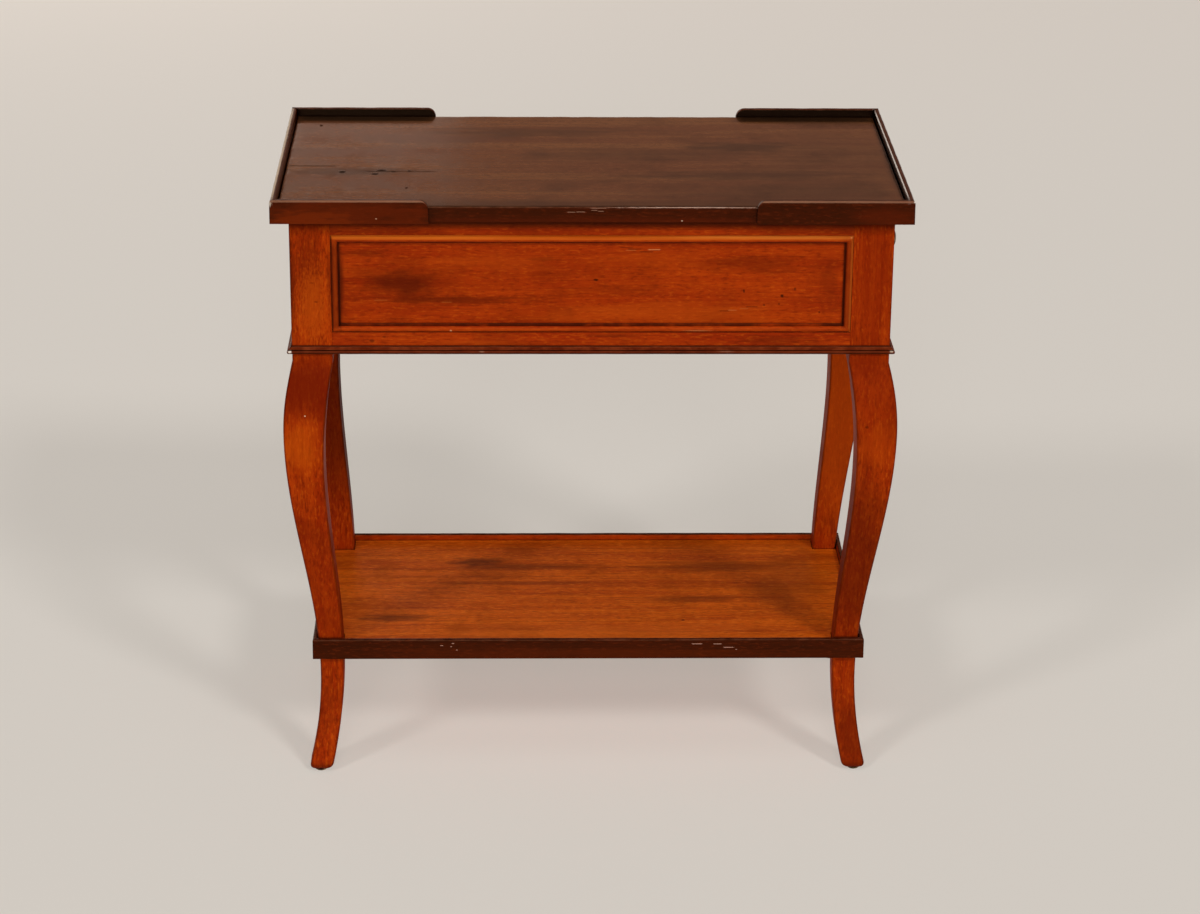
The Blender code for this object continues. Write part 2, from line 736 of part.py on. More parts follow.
def make_shelf(legs, fruitwood, dark, hardwood):
    """The shelf board notched round the legs, its dowels and its four raised strips."""
    half_length = CASE_LENGTH / 2 + shelf_edge()
    half_depth = CASE_DEPTH / 2 + shelf_edge()
    box = Box(
        (-half_length + JOINT_GAP, -half_depth + JOINT_GAP, SHELF_BOTTOM),
        (half_length - JOINT_GAP, half_depth - JOINT_GAP, SHELF_SURFACE),
    )
    board = attach(new_object("shelf_board", block(box), fruitwood), TABLE)
    pitch = (SHELF_SURFACE - SHELF_BOTTOM) / (SHELF_NOTCH_SAMPLES - 1)
    levels = [SHELF_BOTTOM + pitch * index for index in range(SHELF_NOTCH_SAMPLES)]
    inner = min(inner_offset(level) for level in levels) - POST_SIZE - JOINT_GAP
    middle = (SHELF_BOTTOM + SHELF_SURFACE) / 2
    for name, corner in CORNERS.items():
        # The notch reaches past the board's corner by the strip's thickness.
        start, end = inner, shelf_edge() + SHELF_STRIP_THICKNESS
        notch = new_object(
            f"shelf_notch_{name}",
            block(
                Box(
                    (start, start, SHELF_BOTTOM - SHELF_RISE),
                    (end, end, SHELF_SURFACE + SHELF_RISE),
                )
            ),
        )
        place = Vector((corner[0] * CASE_LENGTH / 2, corner[1] * CASE_DEPTH / 2, 0.0))
        notch.rotation_euler.z = math.atan2(corner[1], corner[0]) - math.pi / 4
        notch.location = place
        combine(board, notch)
        # A dowel along x joins the leg to the end of the notch.
        inside = rod(SHELF_DOWEL_RADIUS, -SHELF_DOWEL_IN_BOARD, SHELF_DOWEL_IN_LEG)
        dowel = smooth(new_object(f"shelf_dowel_{name}", inside, hardwood))
        bore = new_object(
            f"shelf_dowel_bore_{name}",
            rod(
                SHELF_DOWEL_RADIUS + JOINT_GAP,
                -SHELF_DOWEL_IN_BOARD - JOINT_GAP,
                SHELF_DOWEL_IN_LEG + JOINT_GAP,
            ),
        )
        for piece in (dowel, bore):
            piece.rotation_euler.y = corner[0] * math.pi / 2
            piece.location = place + Vector((corner[0] * inner, corner[1] * leg_middle(middle), middle))
        attach(dowel, TABLE)
        combine(board, bore)
        combine(legs[name], bore)
    for side_name, side in SIDES.items():
        length = side.opening + 2 * POST_SIZE + 2 * (shelf_edge() - JOINT_GAP)
        bm = strip(shelf_profile(), length)
        bmesh.ops.translate(bm, vec=(0.0, 0.0, SHELF_BOTTOM), verts=bm.verts)
        piece = new_object(f"shelf_strip_{side_name}", bm, dark)
        attach(on_side(piece, side, side.reach + shelf_edge()), TABLE)


# Drawer


def dovetails(hand, clearance):
    """The tails of one drawer side, or their sockets when given a clearance."""
    bm = bmesh.new()
    outside = DRAWER_HALF_WIDTH + (DRAWER_SIDE_THICKNESS if clearance else 0.0)
    inside = DRAWER_HALF_WIDTH - DRAWER_SIDE_THICKNESS - clearance
    across = sorted((hand * inside, hand * outside))
    tip = PANEL_RECESS + DOVETAIL_LAP + JOINT_GAP - clearance
    root = DRAWER_FRONT_BACK + DOVETAIL_OVERLAP
    tail_length = DRAWER_FRONT_THICKNESS - DOVETAIL_LAP
    slope = (DOVETAIL_TIP_WIDTH - DOVETAIL_ROOT_WIDTH) / tail_length
    low = OPENING_BOTTOM + JOINT_GAP
    pitch = (DRAWER_HIGH - DRAWER_SIDE_DROP - low) / DOVETAIL_COUNT
    for index in range(DOVETAIL_COUNT):
        middle = low + pitch * (index + 0.5)
        verts = bmesh.ops.create_cube(bm, size=1.0)["verts"]
        for vert in verts:
            y = root if vert.co.y > 0 else tip
            width = DOVETAIL_ROOT_WIDTH + slope * (DRAWER_FRONT_BACK - y) + 2 * clearance
            vert.co = (across[vert.co.x > 0], y, middle + math.copysign(width / 2, vert.co.z))
    return bm


def turned_outwards(obj, depth, parent):
    """Turn a turned piece to point out of the drawer's end, at a depth behind the case's face."""
    obj.rotation_euler.y = math.pi / 2
    obj.location = (CASE_LENGTH / 2 - depth, 0.0, DRAWER_MIDDLE)
    return attach(obj, parent)


def make_knob(front, brass):
    """The turned knob, its screw, and the screw's hole in the drawer front."""
    dome_low = KNOB_LENGTH - KNOB_DOME
    bore = KNOB_SCREW_RADIUS + JOINT_GAP
    bore_top = KNOB_SCREW_IN_KNOB + JOINT_GAP
    dome = arc((0.0, dome_low), (KNOB_RADIUS, KNOB_DOME), 90, 0, KNOB_ARC_STEPS)
    waist_low = KNOB_FOOT_HEIGHT
    waist = [
        (KNOB_RIM_RADIUS, dome_low - KNOB_RIM_DROP),
        (KNOB_NECK_RADIUS, (waist_low + dome_low) / 2),
        (KNOB_NECK_RADIUS, waist_low + KNOB_NECK_RISE),
        (KNOB_FOOT_RADIUS, waist_low),
        (KNOB_FOOT_RADIUS, 0.0),
    ]
    hole = [(bore, 0.0), (bore, bore_top), (0.0, bore_top)]
    dome[0] = (0.0, KNOB_LENGTH)
    knob = smooth(turned("drawer_knob", dome + waist + hole, brass))
    turned_outwards(knob, PANEL_RECESS - JOINT_GAP, DRAWER)
    seat = DRAWER_FRONT_BACK + JOINT_GAP
    tip = seat - PANEL_RECESS + KNOB_SCREW_IN_KNOB
    screw = turned(
        "drawer_knob_screw",
        [
            (0.0, tip),
            (KNOB_SCREW_RADIUS, tip - KNOB_SCREW_RADIUS),
            (KNOB_SCREW_RADIUS, 0.0),
            (SCREW_HEAD_RADIUS, 0.0),
            (SCREW_HEAD_EDGE_RADIUS, -SCREW_HEAD_EDGE_HEIGHT),
            (0.0, -SCREW_HEAD_HEIGHT),
        ],
        brass,
    )
    turned_outwards(smooth(screw), seat, DRAWER)
    hole_rod = rod(bore, -JOINT_GAP, DRAWER_FRONT_THICKNESS + 2 * JOINT_GAP)
    screw_hole = new_object("drawer_screw_hole", hole_rod)
    combine(front, turned_outwards(screw_hole, seat, DRAWER))


def make_drawer(fruitwood, brass, hardwood):
    """The drawer: dovetailed front and sides, housed back, grooved bottom, moulding and knob."""
    side = DRAWER_SIDE
    half = DRAWER_HALF_WIDTH
    inside = half - DRAWER_SIDE_THICKNESS
    low = OPENING_BOTTOM + JOINT_GAP
    face = Box((-half, PANEL_RECESS, DRAWER_LOW), (half, DRAWER_FRONT_BACK, DRAWER_HIGH))
    front = attach(on_side(new_object("drawer_front", block(face), fruitwood), side), DRAWER)
    make_moulding("drawer_moulding", side, DRAWER_GAP, fruitwood, DRAWER)

    floor = Box(
        (-inside - DRAWER_GROOVE, DRAWER_FRONT_BACK - DRAWER_GROOVE, DRAWER_FLOOR),
        (inside + DRAWER_GROOVE, DRAWER_END, DRAWER_FLOOR + DRAWER_BOTTOM_THICKNESS),
    )
    attach(on_side(new_object("drawer_bottom", block(floor), hardwood), side), DRAWER)
    # The groove runs out through the rear ends of the sides.
    groove_box = floor.grown(JOINT_GAP)
    groove_end = (groove_box.high[0], DRAWER_END + DRAWER_GROOVE, groove_box.high[2])
    groove = on_side(new_object("drawer_groove", block(Box(groove_box.low, groove_end))), side)
    combine(front, groove)

    back_end = DRAWER_END - DRAWER_BACK_SETBACK
    rear = Box(
        (
            -inside - DRAWER_DADO,
            back_end - DRAWER_SIDE_THICKNESS,
            DRAWER_FLOOR + DRAWER_BOTTOM_THICKNESS + JOINT_GAP,
        ),
        (inside + DRAWER_DADO, back_end, DRAWER_HIGH - DRAWER_BACK_DROP),
    )
    attach(on_side(new_object("drawer_back", block(rear), hardwood), side), DRAWER)
    # The dado is open at the top, so that the back can be let in from above.
    dado_box = rear.grown(JOINT_GAP)
    dado_top = (dado_box.high[0], dado_box.high[1], DRAWER_HIGH + DRAWER_BACK_DROP)
    dado = on_side(new_object("drawer_dado", block(Box(dado_box.low, dado_top))), side)

    for name, hand in (("front", -1), ("back", 1)):
        ends = sorted((hand * inside, hand * half))
        plank = Box(
            (ends[0], DRAWER_FRONT_BACK + JOINT_GAP, low),
            (ends[1], DRAWER_END, DRAWER_HIGH - DRAWER_SIDE_DROP),
        )
        cheek = on_side(new_object(f"drawer_side_{name}", block(plank), hardwood), side)
        attach(cheek, DRAWER)
        tails = on_side(new_object(f"drawer_tails_{name}", dovetails(hand, 0.0)), side)
        sockets = on_side(new_object(f"drawer_sockets_{name}", dovetails(hand, JOINT_GAP)), side)
        combine(cheek, tails, "UNION")
        combine(cheek, groove)
        combine(cheek, dado)
        combine(front, sockets)
    make_knob(front, brass)


def make_drawer_ways(hardwood):
    """The runners and kickers that the drawer slides between, and the stops behind it."""
    side = DRAWER_SIDE
    start = RAIL_THICKNESS + JOINT_GAP
    end = CASE_LENGTH - start
    post_face = OPENING_DEPTH / 2
    rail_face = CASE_DEPTH / 2 - RAIL_THICKNESS - JOINT_GAP
    for name, hand in (("front", -1), ("back", 1)):
        low, ledge = OPENING_BOTTOM - RUNNER_HEIGHT, OPENING_BOTTOM
        section = [
            (post_face - RUNNER_WIDTH, low),
            (rail_face, low),
            (rail_face, ledge + GUIDE_RISE),
            (post_face - JOINT_GAP, ledge + GUIDE_RISE),
            (post_face - JOINT_GAP, ledge),
            (post_face - RUNNER_WIDTH, ledge),
        ]
        bm = prism([(hand * x, z) for x, z in section], start, end)
        runner = attach(on_side(new_object(f"drawer_runner_{name}", bm, hardwood), side), TABLE)
        post_clear = sorted((hand * (post_face - 2 * JOINT_GAP), hand * (rail_face + RUNNER_WIDTH)))
        for place, middle in (("right", 0.0), ("left", CASE_LENGTH)):
            notch = Box(
                (post_clear[0], middle - POST_SIZE - JOINT_GAP, low - RUNNER_HEIGHT),
                (post_clear[1], middle + POST_SIZE + JOINT_GAP, ledge + 2 * GUIDE_RISE),
            )
            combine(runner, on_side(new_object(f"runner_notch_{name}_{place}", block(notch)), side))

        over = sorted((hand * (post_face - KICKER_WIDTH), hand * (post_face - JOINT_GAP)))
        kicker = Box((over[0], start, OPENING_TOP), (over[1], end, CASE_TOP - JOINT_GAP))
        attach(on_side(new_object(f"drawer_kicker_{name}", block(kicker), hardwood), side), TABLE)

        behind = DRAWER_END + JOINT_GAP
        on_ledge = sorted((hand * (post_face - RUNNER_WIDTH), hand * (post_face - 2 * JOINT_GAP)))
        stop = Box(
            (on_ledge[0], behind, OPENING_BOTTOM + JOINT_GAP),
            (on_ledge[1], behind + STOP_LENGTH, OPENING_BOTTOM + STOP_HEIGHT),
        )
        attach(on_side(new_object(f"drawer_stop_{name}", block(stop), hardwood), side), TABLE)


def main():
    """Build the whole table."""
    fruitwood = new_material("stained_fruitwood", (0.32, 0.055, 0.006), 0.35)
    dark = new_material("dark_walnut_stain", (0.060, 0.016, 0.006), 0.30)
    hardwood = new_material("plain_hardwood", (0.42, 0.26, 0.13), 0.6)
    brass = new_material("aged_brass", (0.20, 0.12, 0.045), 0.35, 1.0)
    legs = make_legs(fruitwood, brass)
    for side_name in SIDES:
        panelled = SIDES[side_name] is not DRAWER_SIDE
        rails = make_rails(side_name, panelled, legs, fruitwood)
        if panelled:
            make_panel(side_name, rails, legs, fruitwood)
    make_base_mouldings(dark)
    make_glue_blocks(hardwood)
    make_top(dark)
    make_shelf(legs, fruitwood, dark, hardwood)
    make_drawer_ways(hardwood)
    make_drawer(fruitwood, brass, hardwood)


clear_scene()
PARTS = new_collection("side_table")
CUTTERS = new_collection("side_table_cutters")
TABLE = new_empty("table_frame", (0.0, 0.0, 0.0))
DRAWER = new_empty("drawer_slide", (CASE_LENGTH / 2 - PANEL_RECESS, 0.0, DRAWER_MIDDLE))
main()
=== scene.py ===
"""Dresses a side table: stained fruitwood case and legs, dark tray top, low tray shelf, end drawer.

Everything is in metres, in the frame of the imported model: +X towards the drawer end,
-Y towards the front, +Z up, with the origin on the floor below the middle of the table.
"""

from __future__ import annotations

import json
import logging
import math
from collections.abc import Iterable, Sequence
from dataclasses import dataclass, replace
from enum import Enum

import bmesh
import bpy
from bmesh.types import BMEdge, BMesh, BMFace, BMVert
from bpy.types import Material, Node, NodeSocket, NodeTree, Object
from mathutils import Matrix, Vector, noise

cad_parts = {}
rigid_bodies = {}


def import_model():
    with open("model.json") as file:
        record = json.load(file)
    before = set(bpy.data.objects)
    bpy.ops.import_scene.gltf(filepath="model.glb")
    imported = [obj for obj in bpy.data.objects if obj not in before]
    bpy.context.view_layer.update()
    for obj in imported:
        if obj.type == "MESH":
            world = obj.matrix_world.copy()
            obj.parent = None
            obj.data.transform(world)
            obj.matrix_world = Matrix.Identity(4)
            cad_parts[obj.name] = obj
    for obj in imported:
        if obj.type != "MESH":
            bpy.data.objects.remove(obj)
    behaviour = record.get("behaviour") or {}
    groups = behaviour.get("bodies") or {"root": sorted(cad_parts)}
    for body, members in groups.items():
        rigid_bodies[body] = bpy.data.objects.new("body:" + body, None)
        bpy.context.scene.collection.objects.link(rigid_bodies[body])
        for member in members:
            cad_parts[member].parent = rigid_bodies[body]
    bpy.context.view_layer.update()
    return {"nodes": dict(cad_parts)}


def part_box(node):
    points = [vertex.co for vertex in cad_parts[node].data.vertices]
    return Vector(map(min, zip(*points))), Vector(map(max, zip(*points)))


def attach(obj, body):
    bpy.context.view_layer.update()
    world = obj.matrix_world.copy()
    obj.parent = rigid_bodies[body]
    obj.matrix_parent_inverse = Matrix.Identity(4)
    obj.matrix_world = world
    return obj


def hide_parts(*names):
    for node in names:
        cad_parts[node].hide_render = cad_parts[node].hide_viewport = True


LOG = logging.getLogger("side_table")
MM = 0.001
WEAR_AND_HIGHLIGHT_LAYER = "wear"
GLAZE_AND_SHADE_LAYER = "glaze"
FINE_DISTANCE = 1e-6
MERGE_DISTANCE = 0.01 * MM
FLAT_DEGREES = 1.0
SHARP_DEGREES = 40.0
SMOOTH_DEGREES = 35.0

# Sizes of the woods' patterns in millimetres: along and across the grain, or the same all ways.
STREAK_MM = (300.0, 5.0)
FIBRE_MM = (70.0, 1.3)
FLECK_MM = (8.0, 2.0)
PORE_MM = (14.0, 0.8)
PATCH_MM = 55.0
SPOT_MM = 9.0
DING_MM = 34.0
GLAZE_AND_SHADE_BREAK_MM = 25.0
WEAR_AND_HIGHLIGHT_BREAK_MM = 13.0
PORE_DEPTH_MM = 0.3
BOARD_SHIFT = (3.7, 5.1, 2.3)
GLOSS_SPREAD = (-0.06, 0.08)
DULL_ROUGHNESS = 0.95

Point = tuple[float, float]
Triple = tuple[float, float, float]


class Grain(Enum):
    """The axis that the grain of a piece runs along."""

    ALONG_X = 0
    ALONG_Y = 1
    ALONG_Z = 2


class Body(Enum):
    """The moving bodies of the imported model."""

    TABLE = "table"
    DRAWER = "drawer"


class Slot(Enum):
    """The material slots of the record."""

    FRUITWOOD = "fruitwood"
    DARK_WOOD = "dark_wood"
    HARDWOOD = "plain_hardwood"
    METAL = "metal"


# Finishes


def linear(hex_code: str) -> tuple[float, float, float, float]:
    """Turn an sRGB hex colour into linear light.

    Args:
        hex_code: Six hex digits after a hash sign.

    Returns:
        Red, green, blue and an alpha of one.
    """
    parts = [int(hex_code[i : i + 2], 16) / 255 for i in (1, 3, 5)]
    lit = [c / 12.92 if c <= 0.04045 else ((c + 0.055) / 1.055) ** 2.4 for c in parts]
    return (lit[0], lit[1], lit[2], 1.0)


def add(
    tree: NodeTree,
    kind: str,
    inputs: dict[str | int, object] | None = None,
    **settings: object,
) -> Node:
    """Add a node with its settings, and set or link its inputs.

    Args:
        tree: The node tree that the node goes into.
        kind: The node's type name.
        inputs: Values or sockets for the inputs, by name or by number.
        **settings: The node's own options.

    Returns:
        The new node.
    """
    node = tree.nodes.new(kind)
    for name, value in settings.items():
        setattr(node, name, value)
    for key, value in (inputs or {}).items():
        if isinstance(value, NodeSocket):
            tree.links.new(value, node.inputs[key])
        else:
            node.inputs[key].default_value = value
    return node


class Spread(Enum):
    """How a mark fades: softly from its middle, or only close to the sides of its block."""

    SOFT = 0.25
    EVEN = 0.80


@dataclass(frozen=True)
class Mark:
    """A soft mark laid over a finish: a smoky patch, a streak, a ding, or a painted shade, highlight or
    reflection.

    Attributes:
        middle: Where it lies, in the frame of the model.
        reach: Its half sizes along x, y and z.
        color: Its colour.
        strength: How much of the colour shows, from 0 to 1.
        ragged: How far noise breaks up its outline, as a share of its reach.
        grit: How many breaks there are over its reach.
        spread: How it fades.
        dull: Whether the polish is gone there, as in an open crack or knot.
    """

    middle: Triple
    reach: Triple
    color: str
    strength: float = 0.6
    ragged: float = 0.5
    grit: float = 1.6
    spread: Spread = Spread.SOFT
    dull: bool = False


@dataclass(frozen=True)
class Stain:
    """A stain on wood, with what shows through it, what lies in its corners, and the painted shade and
    highlights that go with it.

    Attributes:
        dark: The darker bands of the figure.
        light: The lighter bands of the figure.
        streak: Thin streaks along the grain.
        mottle: Cloudy patches where the stain took unevenly.
        pore: Open pores and dings.
        fleck: Small flecks where the stain took less.
        glaze: Dark glaze left in corners and joints, with the painted shade of corners, quirks and hollows.
        rubbed_and_highlight: Edges that were rubbed through, and the painted highlights on crests and
            arrises.
        roughness: Roughness of the wax over the stain.
        specular: How much the wax mirrors, where 0.5 is a full lacquer.
        tint: The amber that the wax gives to what it mirrors.
        band_mm: Length and width of the figure's bands.
        streak_share: How much of the streaks shows.
        mottle_share: How much of the mottle shows.
        fleck_share: How much of the flecks shows.
        wear_and_highlight_share: How much of the rubbed edges and painted highlights shows.
        wear_and_highlight_span: The part of a noise over which they are; a low one leaves few breaks.
        glaze_and_shade_share: How much of the glaze and painted shade in corners shows.
        glaze_and_shade_reach_mm: How far the glaze and painted shade reach out of a corner.
    """

    dark: str
    light: str
    streak: str
    mottle: str
    pore: str
    fleck: str
    glaze: str
    rubbed_and_highlight: str
    roughness: float
    specular: float
    tint: str = "#FFC896"
    band_mm: Point = (230.0, 15.0)
    streak_share: float = 0.32
    mottle_share: float = 0.42
    fleck_share: float = 0.50
    wear_and_highlight_share: float = 0.5
    wear_and_highlight_span: Point = (0.36, 0.68)
    glaze_and_shade_share: float = 0.75
    glaze_and_shade_reach_mm: float = 3.0


# Cherry with an orange-red oil stain, rubbed by hand and waxed: warm, cloudy, with dark glaze and painted
# shade in its joints.
FRUITWOOD = Stain(
    dark="#942703",
    light="#AC3905",
    streak="#6E1B01",
    mottle="#6E1A01",
    pore="#441001",
    fleck="#BC4C0A",
    glaze="#240602",
    rubbed_and_highlight="#C05410",
    roughness=0.48,
    specular=0.10,
)

# The planted mouldings, whose crests are rubbed brighter and painted with a highlight.
MOULDING_FRUITWOOD = replace(
    FRUITWOOD, rubbed_and_highlight="#B4460C", wear_and_highlight_share=0.3, wear_and_highlight_span=(0.15, 0.60), glaze_and_shade_share=0.5, glaze_and_shade_reach_mm=2.0
)

# The same wood with the grain on end, in the legs: finer lines, no broad bands.
LEG_FRUITWOOD = replace(
    FRUITWOOD,
    band_mm=(260.0, 9.0),
    streak_share=0.42,
    mottle_share=0.5,
    fleck_share=0.65,
    roughness=0.55,
    specular=0.05,
)

# The shelf, where light has bleached the red out of the stain: orange-brown, with drawn-out smoky streaks.
SHELF_FRUITWOOD = Stain(
    dark="#C04C08",
    light="#DE640C",
    streak="#803006",
    mottle="#8C3806",
    pore="#5E2204",
    fleck="#F08024",
    glaze="#2E0E03",
    rubbed_and_highlight="#D07428",
    roughness=0.45,
    specular=0.05,
    band_mm=(280.0, 20.0),
    streak_share=0.5,
    mottle_share=0.45,
)

# Dark walnut stain rubbed thin over the red: brown-black, red where hands have been, with pale edges that are
# wear and painted highlight.
DARK_WALNUT = Stain(
    dark="#330C01",
    light="#401102",
    streak="#280A02",
    mottle="#2C0C02",
    pore="#140502",
    fleck="#5A1E08",
    glaze="#0C0301",
    rubbed_and_highlight="#88503A",
    roughness=0.22,
    specular=0.12,
    mottle_share=0.5,
    wear_and_highlight_share=0.5,
)

# The inner faces of the gallery, where no hand rubs: the walnut stain at its full strength, nearly black.
BLACK_WALNUT = replace(
    DARK_WALNUT,
    dark="#0C0402",
    light="#110603",
    streak="#080301",
    mottle="#0A0302",
    fleck="#160904",
    rubbed_and_highlight="#3A1C0C",
    specular=0.06,
)

# The top board: walnut stain under a polished wax that mirrors the gallery.
TOP_WALNUT = replace(
    DARK_WALNUT,
    dark="#603018",
    light="#784826",
    streak="#2C1108",
    mottle="#32170A",
    fleck="#82502E",
    roughness=0.14,
    specular=0.26,
    band_mm=(340.0, 26.0),
    streak_share=0.45,
    glaze_and_shade_share=0.25,
)

# The end strips of the gallery, whose pale edge lines are painted highlights laid as marks of their own.
END_WALNUT = replace(DARK_WALNUT, wear_and_highlight_share=0.1, glaze_and_shade_share=0.3)

# The bead and cove at the foot of the case: dark red, with crests rubbed and painted brighter as highlights.
BEAD_WALNUT = replace(
    DARK_WALNUT,
    dark="#5C1A06",
    light="#6A250B",
    streak="#420F02",
    mottle="#481203",
    fleck="#782E12",
    rubbed_and_highlight="#8A3C1C",
    roughness=0.34,
    specular=0.08,
    wear_and_highlight_share=0.6,
)

# The inside of the shelf's strips: red under a thin walnut stain.
RED_WALNUT = replace(
    DARK_WALNUT,
    dark="#962C04",
    light="#A83806",
    streak="#641C03",
    mottle="#6A1E03",
    fleck="#B84C12",
    roughness=0.45,
    specular=0.05,
)

# Poplar, planed and left bare inside the drawer: pale and dry.
BARE_POPLAR = Stain(
    dark="#B88E64",
    light="#D8B48C",
    streak="#A47C58",
    mottle="#B08E68",
    pore="#80603E",
    fleck="#E0C096",
    glaze="#6A5034",
    rubbed_and_highlight="#D2B88C",
    roughness=0.65,
    specular=0.35,
    tint="#FFFFFF",
    mottle_share=0.3,
)


@dataclass(frozen=True)
class AgedMetal:
    """Old brass, cast and turned, with a brown film that lies in patches between brighter spots."""

    bright: str = "#8A6A3A"
    film: str = "#3A2A18"
    roughness: float = 0.34
    film_roughness: float = 0.55
    patch_mm: float = 6.0


# Marks in fixed places: smoke, streaks, cracks and dings of the finish, and painted shade, shadows,
# highlights, glints and reflections.
# First the faces that they lie on, how deep they go into a face, and a reach past the whole table.
PANEL_Y = -0.1585
CASE_Y = -0.1625
MOULDING_Y = -0.165
EDGE_Y = -0.1735
STRIP_Y = -0.150
TOP_Z = 0.6515
SHELF_Z = 0.1495
DEEP = 0.004
ALL_OVER = 4.0

PANEL_CRACKS = [
    (0.036, 0.6034, 0.007, "#6A1E04"),
    (0.044, 0.6018, 0.008, "#4A1402"),
    (0.040, 0.6004, 0.006, "#B85A24"),
    (0.064, 0.6012, 0.007, "#D08850"),
    (0.056, 0.5988, 0.008, "#4A1402"),
    (0.138, 0.5346, 0.006, "#4A1402"),
    (0.146, 0.5354, 0.005, "#B8602C"),
    (0.166, 0.5392, 0.007, "#5A1A04"),
    (0.158, 0.5372, 0.005, "#A8501C"),
    (-0.218, 0.5462, 0.008, "#A04A18"),
    (-0.150, 0.5440, 0.006, "#A04A18"),
]

FRONT_PANEL_MARKS = [
    Mark((-0.190, PANEL_Y, 0.566), (0.095, 0.01, 0.036), "#641801", 0.45, 0.8, 2.2),
    Mark((-0.196, PANEL_Y, 0.563), (0.046, 0.01, 0.020), "#4E1001", 0.65, 0.7, 2.0),
    Mark((-0.140, PANEL_Y, 0.546), (0.110, 0.01, 0.006), "#5A1601", 0.6, 0.8, 3.0),
    Mark((-0.235, PANEL_Y, 0.597), (0.036, 0.01, 0.006), "#601801", 0.5, 0.7, 2.5),
    Mark((-0.052, PANEL_Y, 0.591), (0.024, 0.01, 0.003), "#5E1801", 0.5, 0.8, 3.0),
    Mark((0.165, PANEL_Y, 0.585), (0.075, 0.01, 0.014), "#6A1C02", 0.55, 0.8, 2.4),
    Mark((0.020, PANEL_Y, 0.557), (0.080, 0.01, 0.008), "#7A2202", 0.4, 0.8, 2.4),
    Mark((0.246, PANEL_Y, 0.560), (0.014, 0.01, 0.040), "#701E02", 0.4, 0.7, 2.4),
    Mark((0.080, PANEL_Y, 0.532), (0.170, 0.01, 0.018), "#B4480A", 0.4, 0.8, 2.4),
    Mark((-0.100, PANEL_Y, 0.587), (0.100, 0.01, 0.014), "#B04208", 0.35, 0.8, 2.4),
    Mark((0.060, PANEL_Y, 0.590), (0.090, 0.01, 0.012), "#AE4006", 0.35, 0.8, 2.4),
    # Glaze and painted shadow on the panel along the left moulding.
    Mark((-0.2605, PANEL_Y, 0.565), (0.0070, DEEP, 0.056), "#561401", 0.7, 0.3),
    Mark((0.0041, PANEL_Y, 0.5683), (0.0036, DEEP, 0.0020), "#2A0A01", 0.9, 0.4),
    Mark((0.1575, PANEL_Y, 0.5564), (0.0016, DEEP, 0.0030), "#3A1002", 0.85, 0.4),
    Mark((0.1971, PANEL_Y, 0.5510), (0.0026, DEEP, 0.0026), "#2A0A01", 0.9, 0.4),
    Mark((0.2104, PANEL_Y, 0.5586), (0.0018, DEEP, 0.0026), "#3A1002", 0.7, 0.4),
    Mark((0.1787, PANEL_Y, 0.5411), (0.0018, DEEP, 0.0018), "#3A1002", 0.7, 0.4),
    Mark((0.1942, PANEL_Y, 0.5422), (0.0016, DEEP, 0.0016), "#3A1002", 0.7, 0.4),
    *(
        Mark((x, PANEL_Y, z), (reach, DEEP, 0.0006), color, 0.65, 0.5, 4.0, Spread.EVEN)
        for x, z, reach, color in PANEL_CRACKS
    ),
]

# Painted shadow of the overhanging top on the rails and the tops of the posts.
UNDER_TOP_SHADE = Mark((0.0, 0.0, 0.635), (ALL_OVER, ALL_OVER, 0.0142), "#260801", 0.85, 0.10)

RAIL_MARKS = [
    # The painted shadow under the top.
    UNDER_TOP_SHADE,
    Mark((-0.2278, CASE_Y, 0.5029), (0.0040, DEEP, 0.0026), "#4E1402", 0.7, 0.4),
    Mark((-0.2150, CASE_Y, 0.5075), (0.0030, DEEP, 0.0016), "#4E1402", 0.6, 0.4),
    Mark((0.190, CASE_Y, 0.5035), (0.065, DEEP, 0.007), "#5E1802", 0.5, 0.9, 4.0),
    Mark((0.020, CASE_Y, 0.5085), (0.040, DEEP, 0.0020), "#5E1802", 0.5, 0.9, 4.0),
    Mark((-0.120, CASE_Y, 0.5010), (0.060, DEEP, 0.004), "#B0440A", 0.4, 0.8, 3.0),
]

MOULDING_MARKS = [
    Mark((-0.146, MOULDING_Y, 0.5150), (0.0016, DEEP, 0.0016), "#E8B080", 0.9, 0.2),
    # A painted glint on the upper right mitre.
    Mark((0.2668, MOULDING_Y, 0.6160), (0.0020, DEEP, 0.0020), "#E8B080", 0.8, 0.4),
    # Painted highlight along the crest of the top member, which faces up into the light.
    Mark((0.0, MOULDING_Y, 0.6160), (0.30, 0.010, 0.0030), "#CA5E12", 0.6, 0.05, 8.0, Spread.EVEN),
    Mark((-0.2, MOULDING_Y, 0.6160), (0.20, 0.010, 0.0024), "#DC7420", 0.5, 0.4, 3.0),
    Mark((0.18, MOULDING_Y, 0.6162), (0.16, 0.010, 0.0020), "#E48430", 0.55, 0.6, 5.0),
    # The right member: a painted highlight on its outer side, which faces the light, and painted shade on its
    # inner side.
    Mark((0.2682, MOULDING_Y, 0.565), (0.0022, 0.010, 0.056), "#C8621C", 0.65, 0.1, 8.0, Spread.EVEN),
    Mark((0.2630, MOULDING_Y, 0.565), (0.0042, 0.010, 0.052), "#641A02", 0.65, 0.1, 8.0, Spread.EVEN),
    # Painted shade over the left member, which faces away from the light.
    Mark((-0.2650, MOULDING_Y, 0.563), (0.0064, 0.010, 0.052), "#521402", 0.65, 0.1, 8.0, Spread.EVEN),
    Mark((0.110, MOULDING_Y, 0.5150), (0.020, DEEP, 0.0014), "#D08850", 0.5, 1.2, 6.0),
]

